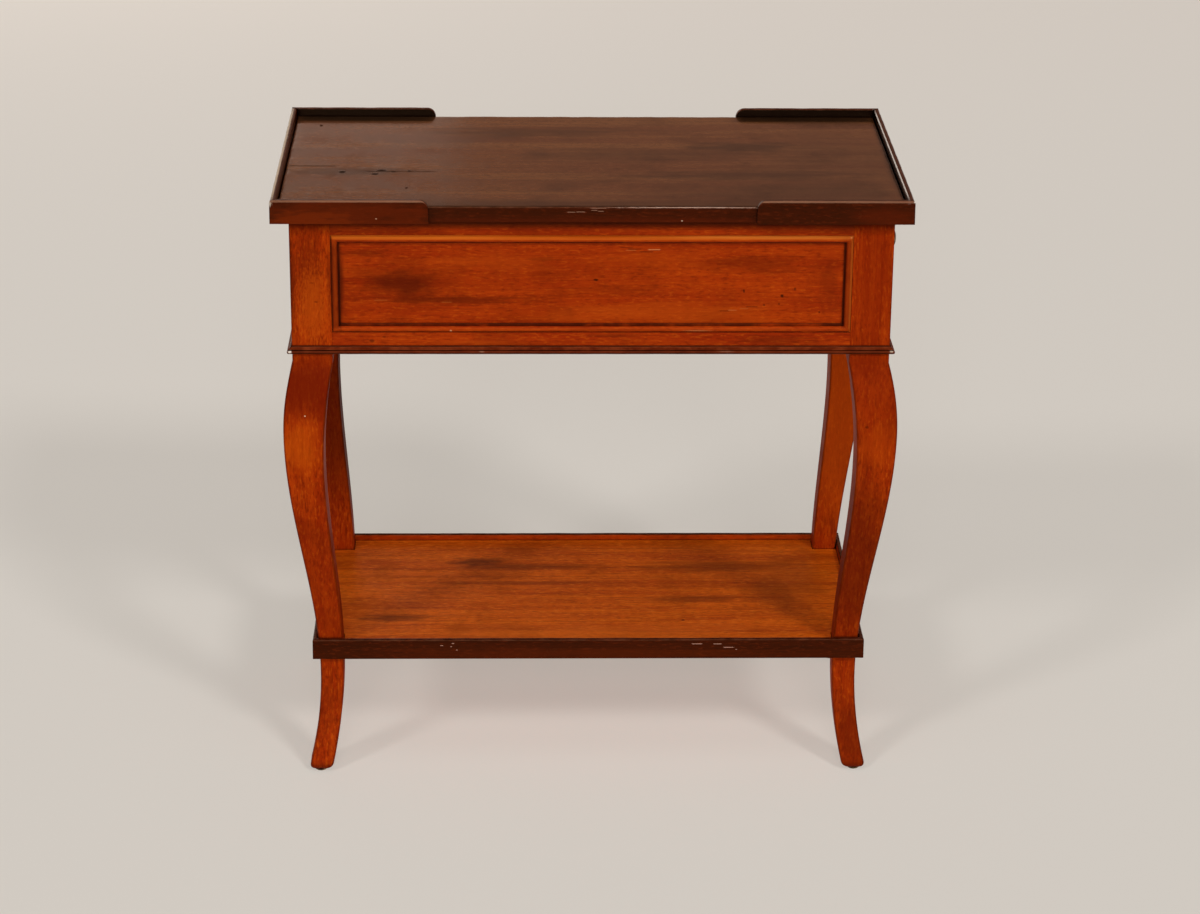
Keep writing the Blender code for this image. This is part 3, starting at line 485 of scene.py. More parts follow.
BASE_MARKS = [
    # Painted shade along the underside of the bead.
    Mark((0.0, 0.0, 0.4896), (ALL_OVER, ALL_OVER, 0.0034), "#280A02", 0.8, 0.1),
    # Painted glints on both ends of the bead.
    Mark((-0.3130, -0.1670, 0.4926), (0.0026, 0.006, 0.0024), "#F0E4D4", 0.95, 0.2),
    Mark((0.3125, -0.1670, 0.4932), (0.0026, 0.006, 0.0016), "#E0CCB4", 0.85, 0.3),
    Mark((-0.1140, -0.1676, 0.4928), (0.0040, DEEP, 0.0012), "#9A6A52", 0.7, 0.5),
    Mark((0.1400, -0.1676, 0.4930), (0.0120, DEEP, 0.0010), "#8E5C44", 0.6, 0.8, 4.0),
]

LEG_MARKS = [
    # The painted shadow under the top.
    UNDER_TOP_SHADE,
    Mark((0.0, 0.0, 0.003), (ALL_OVER, ALL_OVER, 0.012), "#3A0C01", 0.6, 0.3),
    # Painted shadow of the proud left moulding on the left post.
    Mark((-0.2708, CASE_Y, 0.565), (0.0036, 0.010, 0.058), "#5A1602", 0.5, 0.2, 1.6),
    Mark((-0.3115, CASE_Y, 0.565), (0.0085, 0.012, 0.085), "#5A1602", 0.7, 0.7, 9.0),
    Mark((-0.3115, CASE_Y, 0.570), (0.0045, 0.010, 0.070), "#3A0C01", 0.6, 0.8, 12.0),
    Mark((-0.2920, CASE_Y, 0.575), (0.0240, 0.010, 0.065), "#661802", 0.55, 1.0, 12.0),
    Mark((-0.2880, CASE_Y, 0.540), (0.0220, 0.010, 0.060), "#B84A0A", 0.55, 0.9, 14.0),
    Mark((-0.2848, CASE_Y, 0.5455), (0.0030, DEEP, 0.0010), "#4A1202", 0.7, 0.4),
    Mark((-0.2885, CASE_Y, 0.5661), (0.0040, DEEP, 0.0008), "#4A1202", 0.6, 0.4),
    Mark((0.3120, CASE_Y, 0.530), (0.0050, 0.020, 0.050), "#4E1202", 0.6, 0.8, 8.0),
    Mark((0.292, -0.160, 0.562), (0.030, 0.03, 0.110), "#801F02", 0.55, 0.3),
    Mark((-0.300, 0.0, 0.455), (0.200, ALL_OVER, 0.048), "#6A1401", 0.75, 0.1),
    Mark((0.300, 0.0, 0.455), (0.200, ALL_OVER, 0.048), "#781A01", 0.5, 0.1),
    Mark((-0.303, -0.166, 0.388), (0.030, 0.03, 0.038), "#B84A06", 0.55, 0.6, 2.4),
    Mark((0.303, -0.166, 0.388), (0.030, 0.03, 0.036), "#AC3E05", 0.45, 0.6, 2.4),
    Mark((0.285, -0.160, 0.235), (0.060, 0.06, 0.170), "#501101", 0.65, 0.3),
    Mark((-0.285, -0.160, 0.210), (0.060, 0.06, 0.120), "#741D02", 0.4, 0.3),
    Mark((0.292, -0.160, 0.040), (0.040, 0.06, 0.080), "#601602", 0.65, 0.4),
    Mark((-0.292, -0.160, 0.080), (0.040, 0.06, 0.060), "#641802", 0.45, 0.9, 8.0),
    # Painted shade on the back left leg and painted light on the back right leg.
    Mark((-0.285, 0.150, 0.340), (0.090, 0.09, 0.210), "#480F01", 0.7, 0.3),
    Mark((0.285, 0.150, 0.340), (0.090, 0.09, 0.210), "#B84808", 0.55, 0.4),
    Mark((-0.2986, -0.172, 0.4234), (0.0012, DEEP, 0.0012), "#F0C8A0", 0.8, 0.2),
    Mark((-0.2800, -0.166, 0.1900), (0.0010, DEEP, 0.0014), "#F0C8A0", 0.7, 0.2),
    Mark((0.2895, -0.172, 0.4108), (0.0030, DEEP, 0.0022), "#420E01", 0.7, 0.4),
]

KNOTS = [
    (-0.2612, -0.0484, (0.0050, 0.0058)),
    (-0.2266, -0.0560, (0.0052, 0.0046)),
    (-0.2197, -0.0422, (0.0074, 0.0040)),
    (-0.2073, -0.0481, (0.0040, 0.0034)),
    (-0.1909, -0.0450, (0.0036, 0.0038)),
    (-0.1920, -0.1068, (0.0022, 0.0036)),
    (-0.2932, 0.1323, (0.0024, 0.0044)),
]

# A painted highlight along the rounded front edge of the top.
EDGE_HIGHLIGHT = Mark((0.1040, -0.1731, 0.6511), (0.0640, 0.0011, 0.0008), "#DCB8A4", 0.80, 2.0, 9.0, Spread.EVEN)

TOP_MARKS = [
    EDGE_HIGHLIGHT,
    Mark((-0.2930, -0.0263, TOP_Z), (0.0275, 0.0016, DEEP), "#1A0A04", 0.70, 0.15, 3.0, Spread.EVEN, True),
    Mark((-0.2500, -0.0470, TOP_Z), (0.100, 0.0190, DEEP), "#120703", 0.8, 0.7, 3.0),
    Mark((-0.2000, -0.0463, TOP_Z), (0.0420, 0.0014, DEEP), "#2A1008", 0.5, 0.6, 6.0, Spread.EVEN, True),
    *(
        Mark((x, y, TOP_Z), (*reach, DEEP), "#160804", 0.85, 0.3, 2.0, Spread.SOFT, True)
        for x, y, reach in KNOTS
    ),
    Mark((0.1675, 0.0500, TOP_Z), (0.085, 0.024, DEEP), "#120703", 0.85, 0.7, 2.4),
    Mark((0.1600, -0.0600, TOP_Z), (0.170, 0.022, DEEP), "#160803", 0.7, 0.9, 2.4),
    Mark((0.2000, -0.1250, TOP_Z), (0.190, 0.050, DEEP), "#160803", 0.5, 0.6, 2.0),
    Mark((-0.0600, 0.1080, TOP_Z), (0.170, 0.024, DEEP), "#160803", 0.65, 0.9, 2.4),
    Mark((0.0800, 0.0200, TOP_Z), (0.200, 0.034, DEEP), "#1A0A04", 0.5, 0.9, 2.4),
    # Darker along the front and over the right end, painted where the polished top mirrors less light.
    Mark((0.0, -0.1690, TOP_Z), (0.6, 0.030, DEEP), "#160803", 0.6, 0.4),
    Mark((0.2600, -0.0300, TOP_Z), (0.120, 0.220, DEEP), "#1C0B05", 0.36, 0.5),
    # Painted reflection of the dark gallery in the polished top, with painted shade at the foot of the back
    # returns.
    *(
        Mark((sx * 0.2448, 0.1735, TOP_Z), (0.084, 0.0235, DEEP), "#0A0402", 0.75, 0.05, 4.0, Spread.EVEN)
        for sx in (-1, 1)
    ),
    *(Mark((sx * 0.2448, 0.1735, TOP_Z), (0.115, 0.042, DEEP), "#0E0602", 0.6, 0.15) for sx in (-1, 1)),
    # Painted reflection of the right strip in the polished top, with painted shade at its foot.
    Mark((0.322, 0.0, TOP_Z), (0.010, 0.220, DEEP), "#120703", 0.7, 0.2),
]

CHIPS = [
    (-0.0219, 0.6457, 0.0046),
    (-0.0122, 0.6460, 0.0051),
    (0.0016, 0.6478, 0.0036),
    (0.0083, 0.6467, 0.0032),
    (0.0060, 0.6500, 0.0090),
]

EDGE_MARKS = [
    *(
        Mark((x, EDGE_Y, z), (reach, DEEP, 0.0004), "#A07660", 0.6, 0.6, 4.0, Spread.EVEN)
        for x, z, reach in CHIPS
    ),
    EDGE_HIGHLIGHT,
    Mark((0.0911, EDGE_Y, 0.6366), (0.0014, DEEP, 0.0010), "#F0D0B0", 0.9, 0.2),
    Mark((0.0, EDGE_Y, 0.6360), (0.4, DEEP, 0.006), "#541604", 0.4, 0.5),
]

GALLERY_MARKS = [
    Mark((-0.255, -0.1800, 0.6400), (0.150, 0.006, 0.034), "#641C03", 0.55, 0.7, 5.0),
    Mark((-0.290, -0.1800, 0.6400), (0.060, 0.006, 0.014), "#7A2804", 0.4, 0.9, 4.0),
    Mark((-0.2207, -0.1805, 0.6406), (0.0012, DEEP, 0.0009), "#D0A080", 0.8, 0.3),
    Mark((0.300, -0.1800, 0.6420), (0.050, 0.006, 0.014), "#5A1803", 0.5, 0.5),
    Mark((-0.329, 0.0524, 0.6580), (0.004, 0.007, 0.003), "#B0A090", 0.6, 0.9),
    # Painted highlights: the outer edge of the left strip, the inner edge of the right strip, the top front
    # edge of the front strips, and glints at the front corners.
    Mark((-0.3285, 0.0, 0.6590), (0.0030, 0.186, DEEP), "#D2BA9C", 0.90, 0.3, 30.0, Spread.EVEN),
    Mark((0.3226, 0.0, 0.6595), (0.0014, 0.180, 0.003), "#FFF6EA", 0.97, 0.2, 30.0, Spread.EVEN),
    Mark((0.0, -0.1798, 0.6592), (0.4, 0.0016, 0.0014), "#A07258", 0.6, 0.8, 60.0, Spread.EVEN),
    Mark((0.3282, -0.1795, 0.6588), (0.0016, 0.003, 0.0014), "#E4DACE", 0.9, 0.2),
    Mark((-0.3280, -0.1800, 0.6560), (0.0014, 0.003, 0.0040), "#CCBEAC", 0.8, 0.2),
]

SCRATCHES = [
    (-0.1590, 0.1498, 0.0016),
    (-0.1468, 0.1523, 0.0014),
    (-0.1488, 0.1485, 0.0010),
    (-0.1428, 0.1445, 0.0010),
    (0.1174, 0.1512, 0.0060),
    (0.1396, 0.1511, 0.0048),
    (0.1518, 0.1470, 0.0060),
    (0.1600, 0.1446, 0.0010),
]

STRIP_MARKS = [
    *(
        Mark((x, STRIP_Y, z), (reach, DEEP, 0.0004), "#D09C88", 0.7, 0.5, 4.0, Spread.EVEN)
        for x, z, reach in SCRATCHES
    ),
    Mark((0.02, STRIP_Y, 0.1400), (0.35, DEEP, 0.008), "#561A03", 0.45, 0.7, 4.0),
]

SHELF_MARKS = [
    Mark((-0.059, 0.0655, SHELF_Z), (0.120, 0.011, DEEP), "#662602", 0.6, 0.8, 2.4),
    Mark((-0.122, 0.0800, SHELF_Z), (0.044, 0.016, DEEP), "#481802", 0.7, 0.7, 2.0),
    Mark((-0.210, -0.0760, SHELF_Z), (0.060, 0.012, DEEP), "#5A2002", 0.65, 0.8, 2.4),
    Mark((0.150, 0.0660, SHELF_Z), (0.130, 0.020, DEEP), "#702C04", 0.55, 0.8, 2.4),
    Mark((0.127, -0.0250, SHELF_Z), (0.075, 0.013, DEEP), "#702C04", 0.6, 0.8, 2.4),
    Mark((-0.060, 0.0200, SHELF_Z), (0.150, 0.007, DEEP), "#7A3206", 0.5, 0.9, 3.0),
    Mark((0.230, 0.0200, SHELF_Z), (0.060, 0.110, DEEP), "#8A3A08", 0.5, 0.6, 1.6),
    Mark((0.1053, -0.0831, SHELF_Z), (0.0030, 0.0030, DEEP), "#3A1202", 0.8, 0.4),
    Mark((0.020, -0.1150, SHELF_Z), (0.240, 0.030, DEEP), "#D8681A", 0.35, 0.8, 2.4),
]


class WoodRecipe:
    """Builds the node tree of one stained wood."""

    def __init__(self, name: str, stain: Stain, grain: Grain) -> None:
        """Start a material.

        Args:
            name: The material's name.
            stain: Its colours and gloss.
            grain: The way its grain runs.
        """
        self.stain = stain
        self.grain = grain
        self.material = bpy.data.materials.new(name)
        self.material.use_nodes = True
        self.tree = self.material.node_tree
        self.shader = self.tree.nodes["Principled BSDF"]
        self.place = add(self.tree, "ShaderNodeTexCoord").outputs["Object"]
        # Each board comes from another part of the tree.
        chance = add(self.tree, "ShaderNodeObjectInfo").outputs["Random"]
        step = add(self.tree, "ShaderNodeVectorMath", {0: BOARD_SHIFT, 3: chance}, operation="SCALE")
        shifted = add(self.tree, "ShaderNodeVectorMath", {0: self.place, 1: step.outputs[0]}, operation="ADD")
        self.board = shifted.outputs[0]
        self.color: NodeSocket | None = None
        self.dull_shares: list[NodeSocket] = []

    def grain_noise(self, along_mm: float, across_mm: float, detail: float, twist: float) -> NodeSocket:
        """Noise that is drawn out along the grain.

        Args:
            along_mm: Size of its features along the grain.
            across_mm: Size of its features across the grain.
            detail: How many finer layers it has.
            twist: How far it is distorted.

        Returns:
            The noise, from 0 to 1.
        """
        scale = [1 / (across_mm * MM)] * 3
        scale[self.grain.value] = 1 / (along_mm * MM)
        drawn = add(self.tree, "ShaderNodeMapping", {"Vector": self.board, "Scale": scale})
        settings = {"Vector": drawn.outputs[0], "Scale": 1.0, "Detail": detail, "Distortion": twist}
        return add(self.tree, "ShaderNodeTexNoise", settings).outputs[0]

    def between(self, value: NodeSocket, low: float, high: float, most: float = 1.0) -> NodeSocket:
        """A soft step from 0 up to a share, as a value goes from low to high.

        Args:
            value: What is stepped.
            low: Where the step starts.
            high: Where the step ends; a step down has it below low.
            most: What the step reaches.

        Returns:
            The step.
        """
        falling = high < low
        settings = {
            "Value": value,
            "From Min": high if falling else low,
            "From Max": low if falling else high,
            "To Min": most if falling else 0.0,
            "To Max": 0.0 if falling else most,
        }
        return add(self.tree, "ShaderNodeMapRange", settings, interpolation_type="SMOOTHSTEP").outputs[0]

    def lay(self, share: NodeSocket, color: str) -> None:
        """Lay a colour over what is there.

        Args:
            share: How much of it shows.
            color: The colour.
        """
        mixed = add(self.tree, "ShaderNodeMix", {0: share, 6: self.color, 7: linear(color)}, data_type="RGBA")
        self.color = mixed.outputs[2]

    def product(self, first: NodeSocket, second: NodeSocket | float) -> NodeSocket:
        """Two shares multiplied."""
        return add(self.tree, "ShaderNodeMath", {0: first, 1: second}, operation="MULTIPLY").outputs[0]

    def figure(self) -> None:
        """Lay the bands and streaks of the grain."""
        stain = self.stain
        bands = self.grain_noise(*stain.band_mm, detail=4.0, twist=0.7)
        share = self.between(bands, 0.30, 0.70)
        ends = {0: share, 6: linear(stain.dark), 7: linear(stain.light)}
        self.color = add(self.tree, "ShaderNodeMix", ends, data_type="RGBA").outputs[2]
        streaks = self.grain_noise(*STREAK_MM, detail=3.0, twist=0.3)
        self.lay(self.between(streaks, 0.54, 0.76, stain.streak_share), stain.streak)
        fibres = self.grain_noise(*FIBRE_MM, detail=2.0, twist=0.0)
        self.lay(self.between(fibres, 0.50, 0.72, stain.streak_share), stain.streak)
        flecks = self.grain_noise(*FLECK_MM, detail=3.0, twist=0.4)
        self.lay(self.between(flecks, 0.54, 0.68, stain.fleck_share), stain.fleck)
        self.lay(self.between(flecks, 0.46, 0.32, stain.fleck_share), stain.mottle)

    def cloud(self) -> NodeSocket:
        """Lay the cloudy patches, broad and small, and give them back for the gloss."""
        wide = {"Vector": self.board, "Scale": 1 / (PATCH_MM * MM), "Detail": 5.0, "Roughness": 0.6}
        patches = add(self.tree, "ShaderNodeTexNoise", wide).outputs[0]
        self.lay(self.between(patches, 0.46, 0.72, self.stain.mottle_share), self.stain.mottle)
        small = {"Vector": self.board, "Scale": 1 / (SPOT_MM * MM), "Detail": 4.0, "Roughness": 0.65}
        spots = add(self.tree, "ShaderNodeTexNoise", small).outputs[0]
        self.lay(self.between(spots, 0.52, 0.74, 0.7 * self.stain.mottle_share), self.stain.mottle)
        return patches

    def pores(self) -> NodeSocket:
        """Lay the pores, twice as wide as real ones so that they show, and give them back for the bump."""
        pores = self.between(self.grain_noise(*PORE_MM, detail=2.0, twist=0.0), 0.62, 0.76)
        self.lay(self.product(pores, 0.35), self.stain.pore)
        return pores

    def dings(self) -> NodeSocket:
        """Lay the scattered dark dings of a distressed finish, and give them back for the bump."""
        settings = {"Vector": self.board, "Scale": 1 / (DING_MM * MM)}
        cells = add(self.tree, "ShaderNodeTexVoronoi", settings)
        chosen = add(self.tree, "ShaderNodeSeparateColor", {0: cells.outputs["Color"]})
        rare = self.between(chosen.outputs[0], 0.82, 0.84)
        small = self.between(cells.outputs["Distance"], 0.045, 0.02)
        dings = self.product(rare, small)
        self.lay(self.product(dings, 0.75), self.stain.pore)
        return dings

    def mark(self, mark: Mark) -> None:
        """Lay one soft mark."""
        tree = self.tree
        away = add(tree, "ShaderNodeVectorMath", {0: self.place, 1: mark.middle}, operation="SUBTRACT")
        by_reach = {0: away.outputs[0], 1: tuple(1 / size for size in mark.reach)}
        offset = add(tree, "ShaderNodeVectorMath", by_reach, operation="MULTIPLY").outputs[0]
        wander = add(tree, "ShaderNodeTexNoise", {"Vector": offset, "Scale": mark.grit, "Detail": 4.0})
        if mark.spread is Spread.SOFT:
            distance = add(tree, "ShaderNodeVectorMath", {0: offset}, operation="LENGTH").outputs["Value"]
        else:
            sizes = add(tree, "ShaderNodeVectorMath", {0: offset}, operation="ABSOLUTE")
            parts = add(tree, "ShaderNodeSeparateXYZ", {0: sizes.outputs[0]}).outputs
            wider = add(tree, "ShaderNodeMath", {0: parts[0], 1: parts[1]}, operation="MAXIMUM")
            widest = {0: wider.outputs[0], 1: parts[2]}
            distance = add(tree, "ShaderNodeMath", widest, operation="MAXIMUM").outputs[0]
        push = {0: wander.outputs[0], 1: 2 * mark.ragged, 2: distance}
        pushed = add(tree, "ShaderNodeMath", push, operation="MULTIPLY_ADD").outputs[0]
        whole = mark.spread.value + mark.ragged
        share = self.between(pushed, 1.0 + mark.ragged, whole, mark.strength)
        self.lay(share, mark.color)
        if mark.dull:
            self.dull_shares.append(share)

    def glaze(self) -> None:
        """Lay dark glaze with painted shade, in corners and joints found by ambient occlusion and where the
        mesh layer marks quirks, hollows and leg corners.
        """
        reach = self.stain.glaze_and_shade_reach_mm * MM
        # Ambient occlusion darkens corners and joints: dark glaze, and painted shade.
        corners = add(self.tree, "ShaderNodeAmbientOcclusion", {"Distance": reach}, samples=8)
        self.lay(self.between(corners.outputs["AO"], 0.90, 0.30, self.stain.glaze_and_shade_share), self.stain.glaze)
        quirks = add(self.tree, "ShaderNodeAttribute", attribute_name=GLAZE_AND_SHADE_LAYER).outputs["Fac"]
        settings = {"Vector": self.board, "Scale": 1 / (GLAZE_AND_SHADE_BREAK_MM * MM), "Detail": 3.0}
        uneven = add(self.tree, "ShaderNodeTexNoise", settings).outputs[0]
        self.lay(self.product(quirks, self.between(uneven, 0.15, 0.55, 0.85)), self.stain.glaze)

    def wear(self) -> None:
        """Lay the rubbed edges and painted highlights, broken up along their length."""
        # The layer holds rubbed edges and the painted highlights of crests, steps and arrises.
        edges = add(self.tree, "ShaderNodeAttribute", attribute_name=WEAR_AND_HIGHLIGHT_LAYER).outputs["Fac"]
        settings = {"Vector": self.board, "Scale": 1 / (WEAR_AND_HIGHLIGHT_BREAK_MM * MM), "Detail": 4.0}
        broken = add(self.tree, "ShaderNodeTexNoise", settings).outputs[0]
        rubbed_and_highlight = self.between(broken, *self.stain.wear_and_highlight_span, self.stain.wear_and_highlight_share)
        self.lay(self.product(edges, rubbed_and_highlight), self.stain.rubbed_and_highlight)

    def build(self, marks: Sequence[Mark] = ()) -> Material:
        """Build the whole material.

        Args:
            marks: Soft marks that belong to one piece.

        Returns:
            The material.
        """
        stain = self.stain
        self.figure()
        patches = self.cloud()
        pores = self.pores()
        for mark in marks:
            self.mark(mark)
        dings = self.dings()
        self.glaze()
        self.wear()
        spread = {"Value": patches, "From Min": 0.3, "From Max": 0.7}
        smooth, rough = (stain.roughness + change for change in GLOSS_SPREAD)
        spread |= {"To Min": smooth, "To Max": rough}
        gloss = add(self.tree, "ShaderNodeMapRange", spread).outputs[0]
        for share in self.dull_shares:
            gloss = add(self.tree, "ShaderNodeMix", {0: share, 2: gloss, 3: DULL_ROUGHNESS}).outputs[0]
        hollows = add(self.tree, "ShaderNodeMath", {0: pores, 1: 0.35, 2: dings}, operation="MULTIPLY_ADD")
        relief = {"Height": hollows.outputs[0], "Strength": 0.25, "Distance": PORE_DEPTH_MM * MM}
        bump = add(self.tree, "ShaderNodeBump", relief, invert=True)
        self.tree.links.new(self.color, self.shader.inputs["Base Color"])
        self.tree.links.new(gloss, self.shader.inputs["Roughness"])
        self.tree.links.new(bump.outputs[0], self.shader.inputs["Normal"])
        self.shader.inputs["IOR"].default_value = 1.5
        self.shader.inputs["Specular IOR Level"].default_value = stain.specular
        self.shader.inputs["Specular Tint"].default_value = linear(stain.tint)
        return self.material


def metal_material(name: str, metal: AgedMetal) -> Material:
    """Old brass with a brown film that lies in patches.

    Args:
        name: The material's name.
        metal: Its colours and gloss.

    Returns:
        The material.
    """
    material = bpy.data.materials.new(name)
    material.use_nodes = True
    tree = material.node_tree
    shader = tree.nodes["Principled BSDF"]
    place = add(tree, "ShaderNodeTexCoord").outputs["Object"]
    settings = {"Vector": place, "Scale": 1 / (metal.patch_mm * MM), "Detail": 4.0}
    patches = add(tree, "ShaderNodeTexNoise", settings).outputs[0]
    film = add(tree, "ShaderNodeMapRange", {"Value": patches, "From Min": 0.38, "From Max": 0.62}).outputs[0]
    ends = {0: film, 6: linear(metal.bright), 7: linear(metal.film)}
    color = add(tree, "ShaderNodeMix", ends, data_type="RGBA").outputs[2]
    gloss = {"Value": film, "To Min": metal.roughness, "To Max": metal.film_roughness}
    tree.links.new(color, shader.inputs["Base Color"])
    tree.links.new(add(tree, "ShaderNodeMapRange", gloss).outputs[0], shader.inputs["Roughness"])
    shader.inputs["Metallic"].default_value = 1.0
    return material


class Finishes:
    """The materials of the table, each made once."""

    def __init__(self) -> None:
        """Start with none."""
        self.made: dict[str, Material] = {}

    def wood(self, name: str, stain: Stain, grain: Grain, marks: Sequence[Mark] = ()) -> Material:
        """A stained wood.

        Args:
            name: The finish's name.
            stain: Its colours and gloss.
            grain: The way the grain runs.
            marks: Soft marks that belong to one piece.

        Returns:
            The material.
        """
        full_name = f"{name}_{grain.name.lower()}"
        if full_name not in self.made:
            self.made[full_name] = WoodRecipe(full_name, stain, grain).build(marks)
        return self.made[full_name]

    def metal(self) -> Material:
        """Old brass, for the knob, its screw and the glides."""
        if "aged_brass" not in self.made:
            self.made["aged_brass"] = metal_material("aged_brass", AgedMetal())
        return self.made["aged_brass"]


# Shapes


def verts_of(items: Iterable[object]) -> list[BMVert]:
    """The vertices among what an operator gives back."""
    return [item for item in items if isinstance(item, BMVert)]


def faces_of(items: Iterable[object]) -> list[BMFace]:
    """The faces among what an operator gives back."""
    return [item for item in items if isinstance(item, BMFace)]


def box_mesh(low: Sequence[float], high: Sequence[float]) -> BMesh:
    """A block between two corners.

    Args:
        low: Its lowest corner.
        high: Its highest corner.

    Returns:
        The mesh.
    """
    bm = bmesh.new()
    bmesh.ops.create_cube(bm, size=1.0)
    first, last = Vector(low), Vector(high)
    bmesh.ops.scale(bm, vec=last - first, verts=bm.verts)
    bmesh.ops.translate(bm, vec=(first + last) / 2, verts=bm.verts)
    return bm


def paint(bm: BMesh, layer_name: str, faces: Iterable[BMFace], amount: float = 1.0) -> None:
    """Mark faces for the wear and painted highlights, or for the glaze and painted shade, of their finish.

    Args:
        bm: The mesh.
        layer_name: The layer that the finish reads.
        faces: The faces.
        amount: How strong the mark is, from 0 to 1.
    """
    layer = bm.loops.layers.float.get(layer_name) or bm.loops.layers.float.new(layer_name)
    for face in faces:
        for loop in face.loops:
            loop[layer] = amount


def ease(
    bm: BMesh, edges: Sequence[BMEdge], radius: float, segments: int, worn: float = 1.0
) -> list[BMFace]:
    """Round edges, and mark the rounding as worn.

    Args:
        bm: The mesh.
        edges: The edges to round.
        radius: The radius.
        segments: Faces across the rounding.
        worn: How far they are worn, from 0 to 1.

    Returns:
        The new faces.
    """
    made = bmesh.ops.bevel(
        bm,
        geom=list(edges),
        offset=radius,
        offset_type="OFFSET",
        segments=segments,
        profile=0.5,
        affect="EDGES",
        material=-1,
        clamp_overlap=True,
    )
    paint(bm, WEAR_AND_HIGHLIGHT_LAYER, made["faces"], worn)
    return made["faces"]


def sharp_edges(bm: BMesh) -> list[BMEdge]:
    """The outer edges of a mesh that turn sharply."""
    limit = math.radians(SHARP_DEGREES)
    return [edge for edge in bm.edges if edge.is_convex and edge.calc_face_angle(0.0) > limit]


def roughen(bm: BMesh, verts: Iterable[BMVert], depth: float, pitch: float) -> None:
    """Take a little off in waves, as handling wears an edge.

    Args:
        bm: The mesh.
        verts: The points that are worn.
        depth: How much comes off at most.
        pitch: The size of the waves.
    """
    bm.normal_update()
    for vert in verts:
        vert.co -= vert.normal * depth * (0.5 + 0.5 * noise.noise(vert.co / pitch))


def arc(middle: Point, radii: Point, start: float, end: float, steps: int) -> list[Point]:
    """Points of an elliptic arc.

    Args:
        middle: Its middle.
        radii: Its radii along both axes.
        start: The angle where it starts, in degrees.
        end: The angle where it ends, in degrees.
        steps: The number of steps.

    Returns:
        The points, both ends included.
    """
    points = []
    for step in range(steps + 1):
        angle = math.radians(start + (end - start) * step / steps)
        points.append((middle[0] + radii[0] * math.cos(angle), middle[1] + radii[1] * math.sin(angle)))
    return points


def strip_mesh(profile: Sequence[Point], length: float, mitres: Point, cuts: int = 0) -> BMesh:
    """A moulding along x, with its back in the plane y = 0.

    Args:
        profile: Points of its section, as (out, up).
        length: Its length along the back.
        mitres: How far each end grows for each unit that the section stands out: 1, 0 or -1.
        cuts: Rings of points along its length.

    Returns:
        The mesh.
    """
    bm = bmesh.new()
    section = bm.faces.new([bm.verts.new((-length / 2 - out * mitres[0], -out, up)) for out, up in profile])
    swept = bmesh.ops.extrude_face_region(bm, geom=[section])["geom"]
    for vert in verts_of(swept):
        vert.co.x = length / 2 - vert.co.y * mitres[1]
    if cuts:
        level = [e for e in bm.edges if abs(e.verts[0].co.y - e.verts[1].co.y) < FINE_DISTANCE]
        long_edges = [edge for edge in level if edge.calc_length() > length / 2]
        bmesh.ops.subdivide_edges(bm, edges=long_edges, cuts=cuts, use_grid_fill=True)
    bmesh.ops.recalc_face_normals(bm, faces=bm.faces[:])
    return bm


def joined(meshes: Sequence[BMesh]) -> BMesh:
    """Several meshes in one.

    Args:
        meshes: The meshes, which are used up.

    Returns:
        The one that holds them all.
    """
    whole = bmesh.new()
    for part in meshes:
        mesh = bpy.data.meshes.new("part")
        part.to_mesh(mesh)
        part.free()
        whole.from_mesh(mesh)
        bpy.data.meshes.remove(mesh)
    return whole


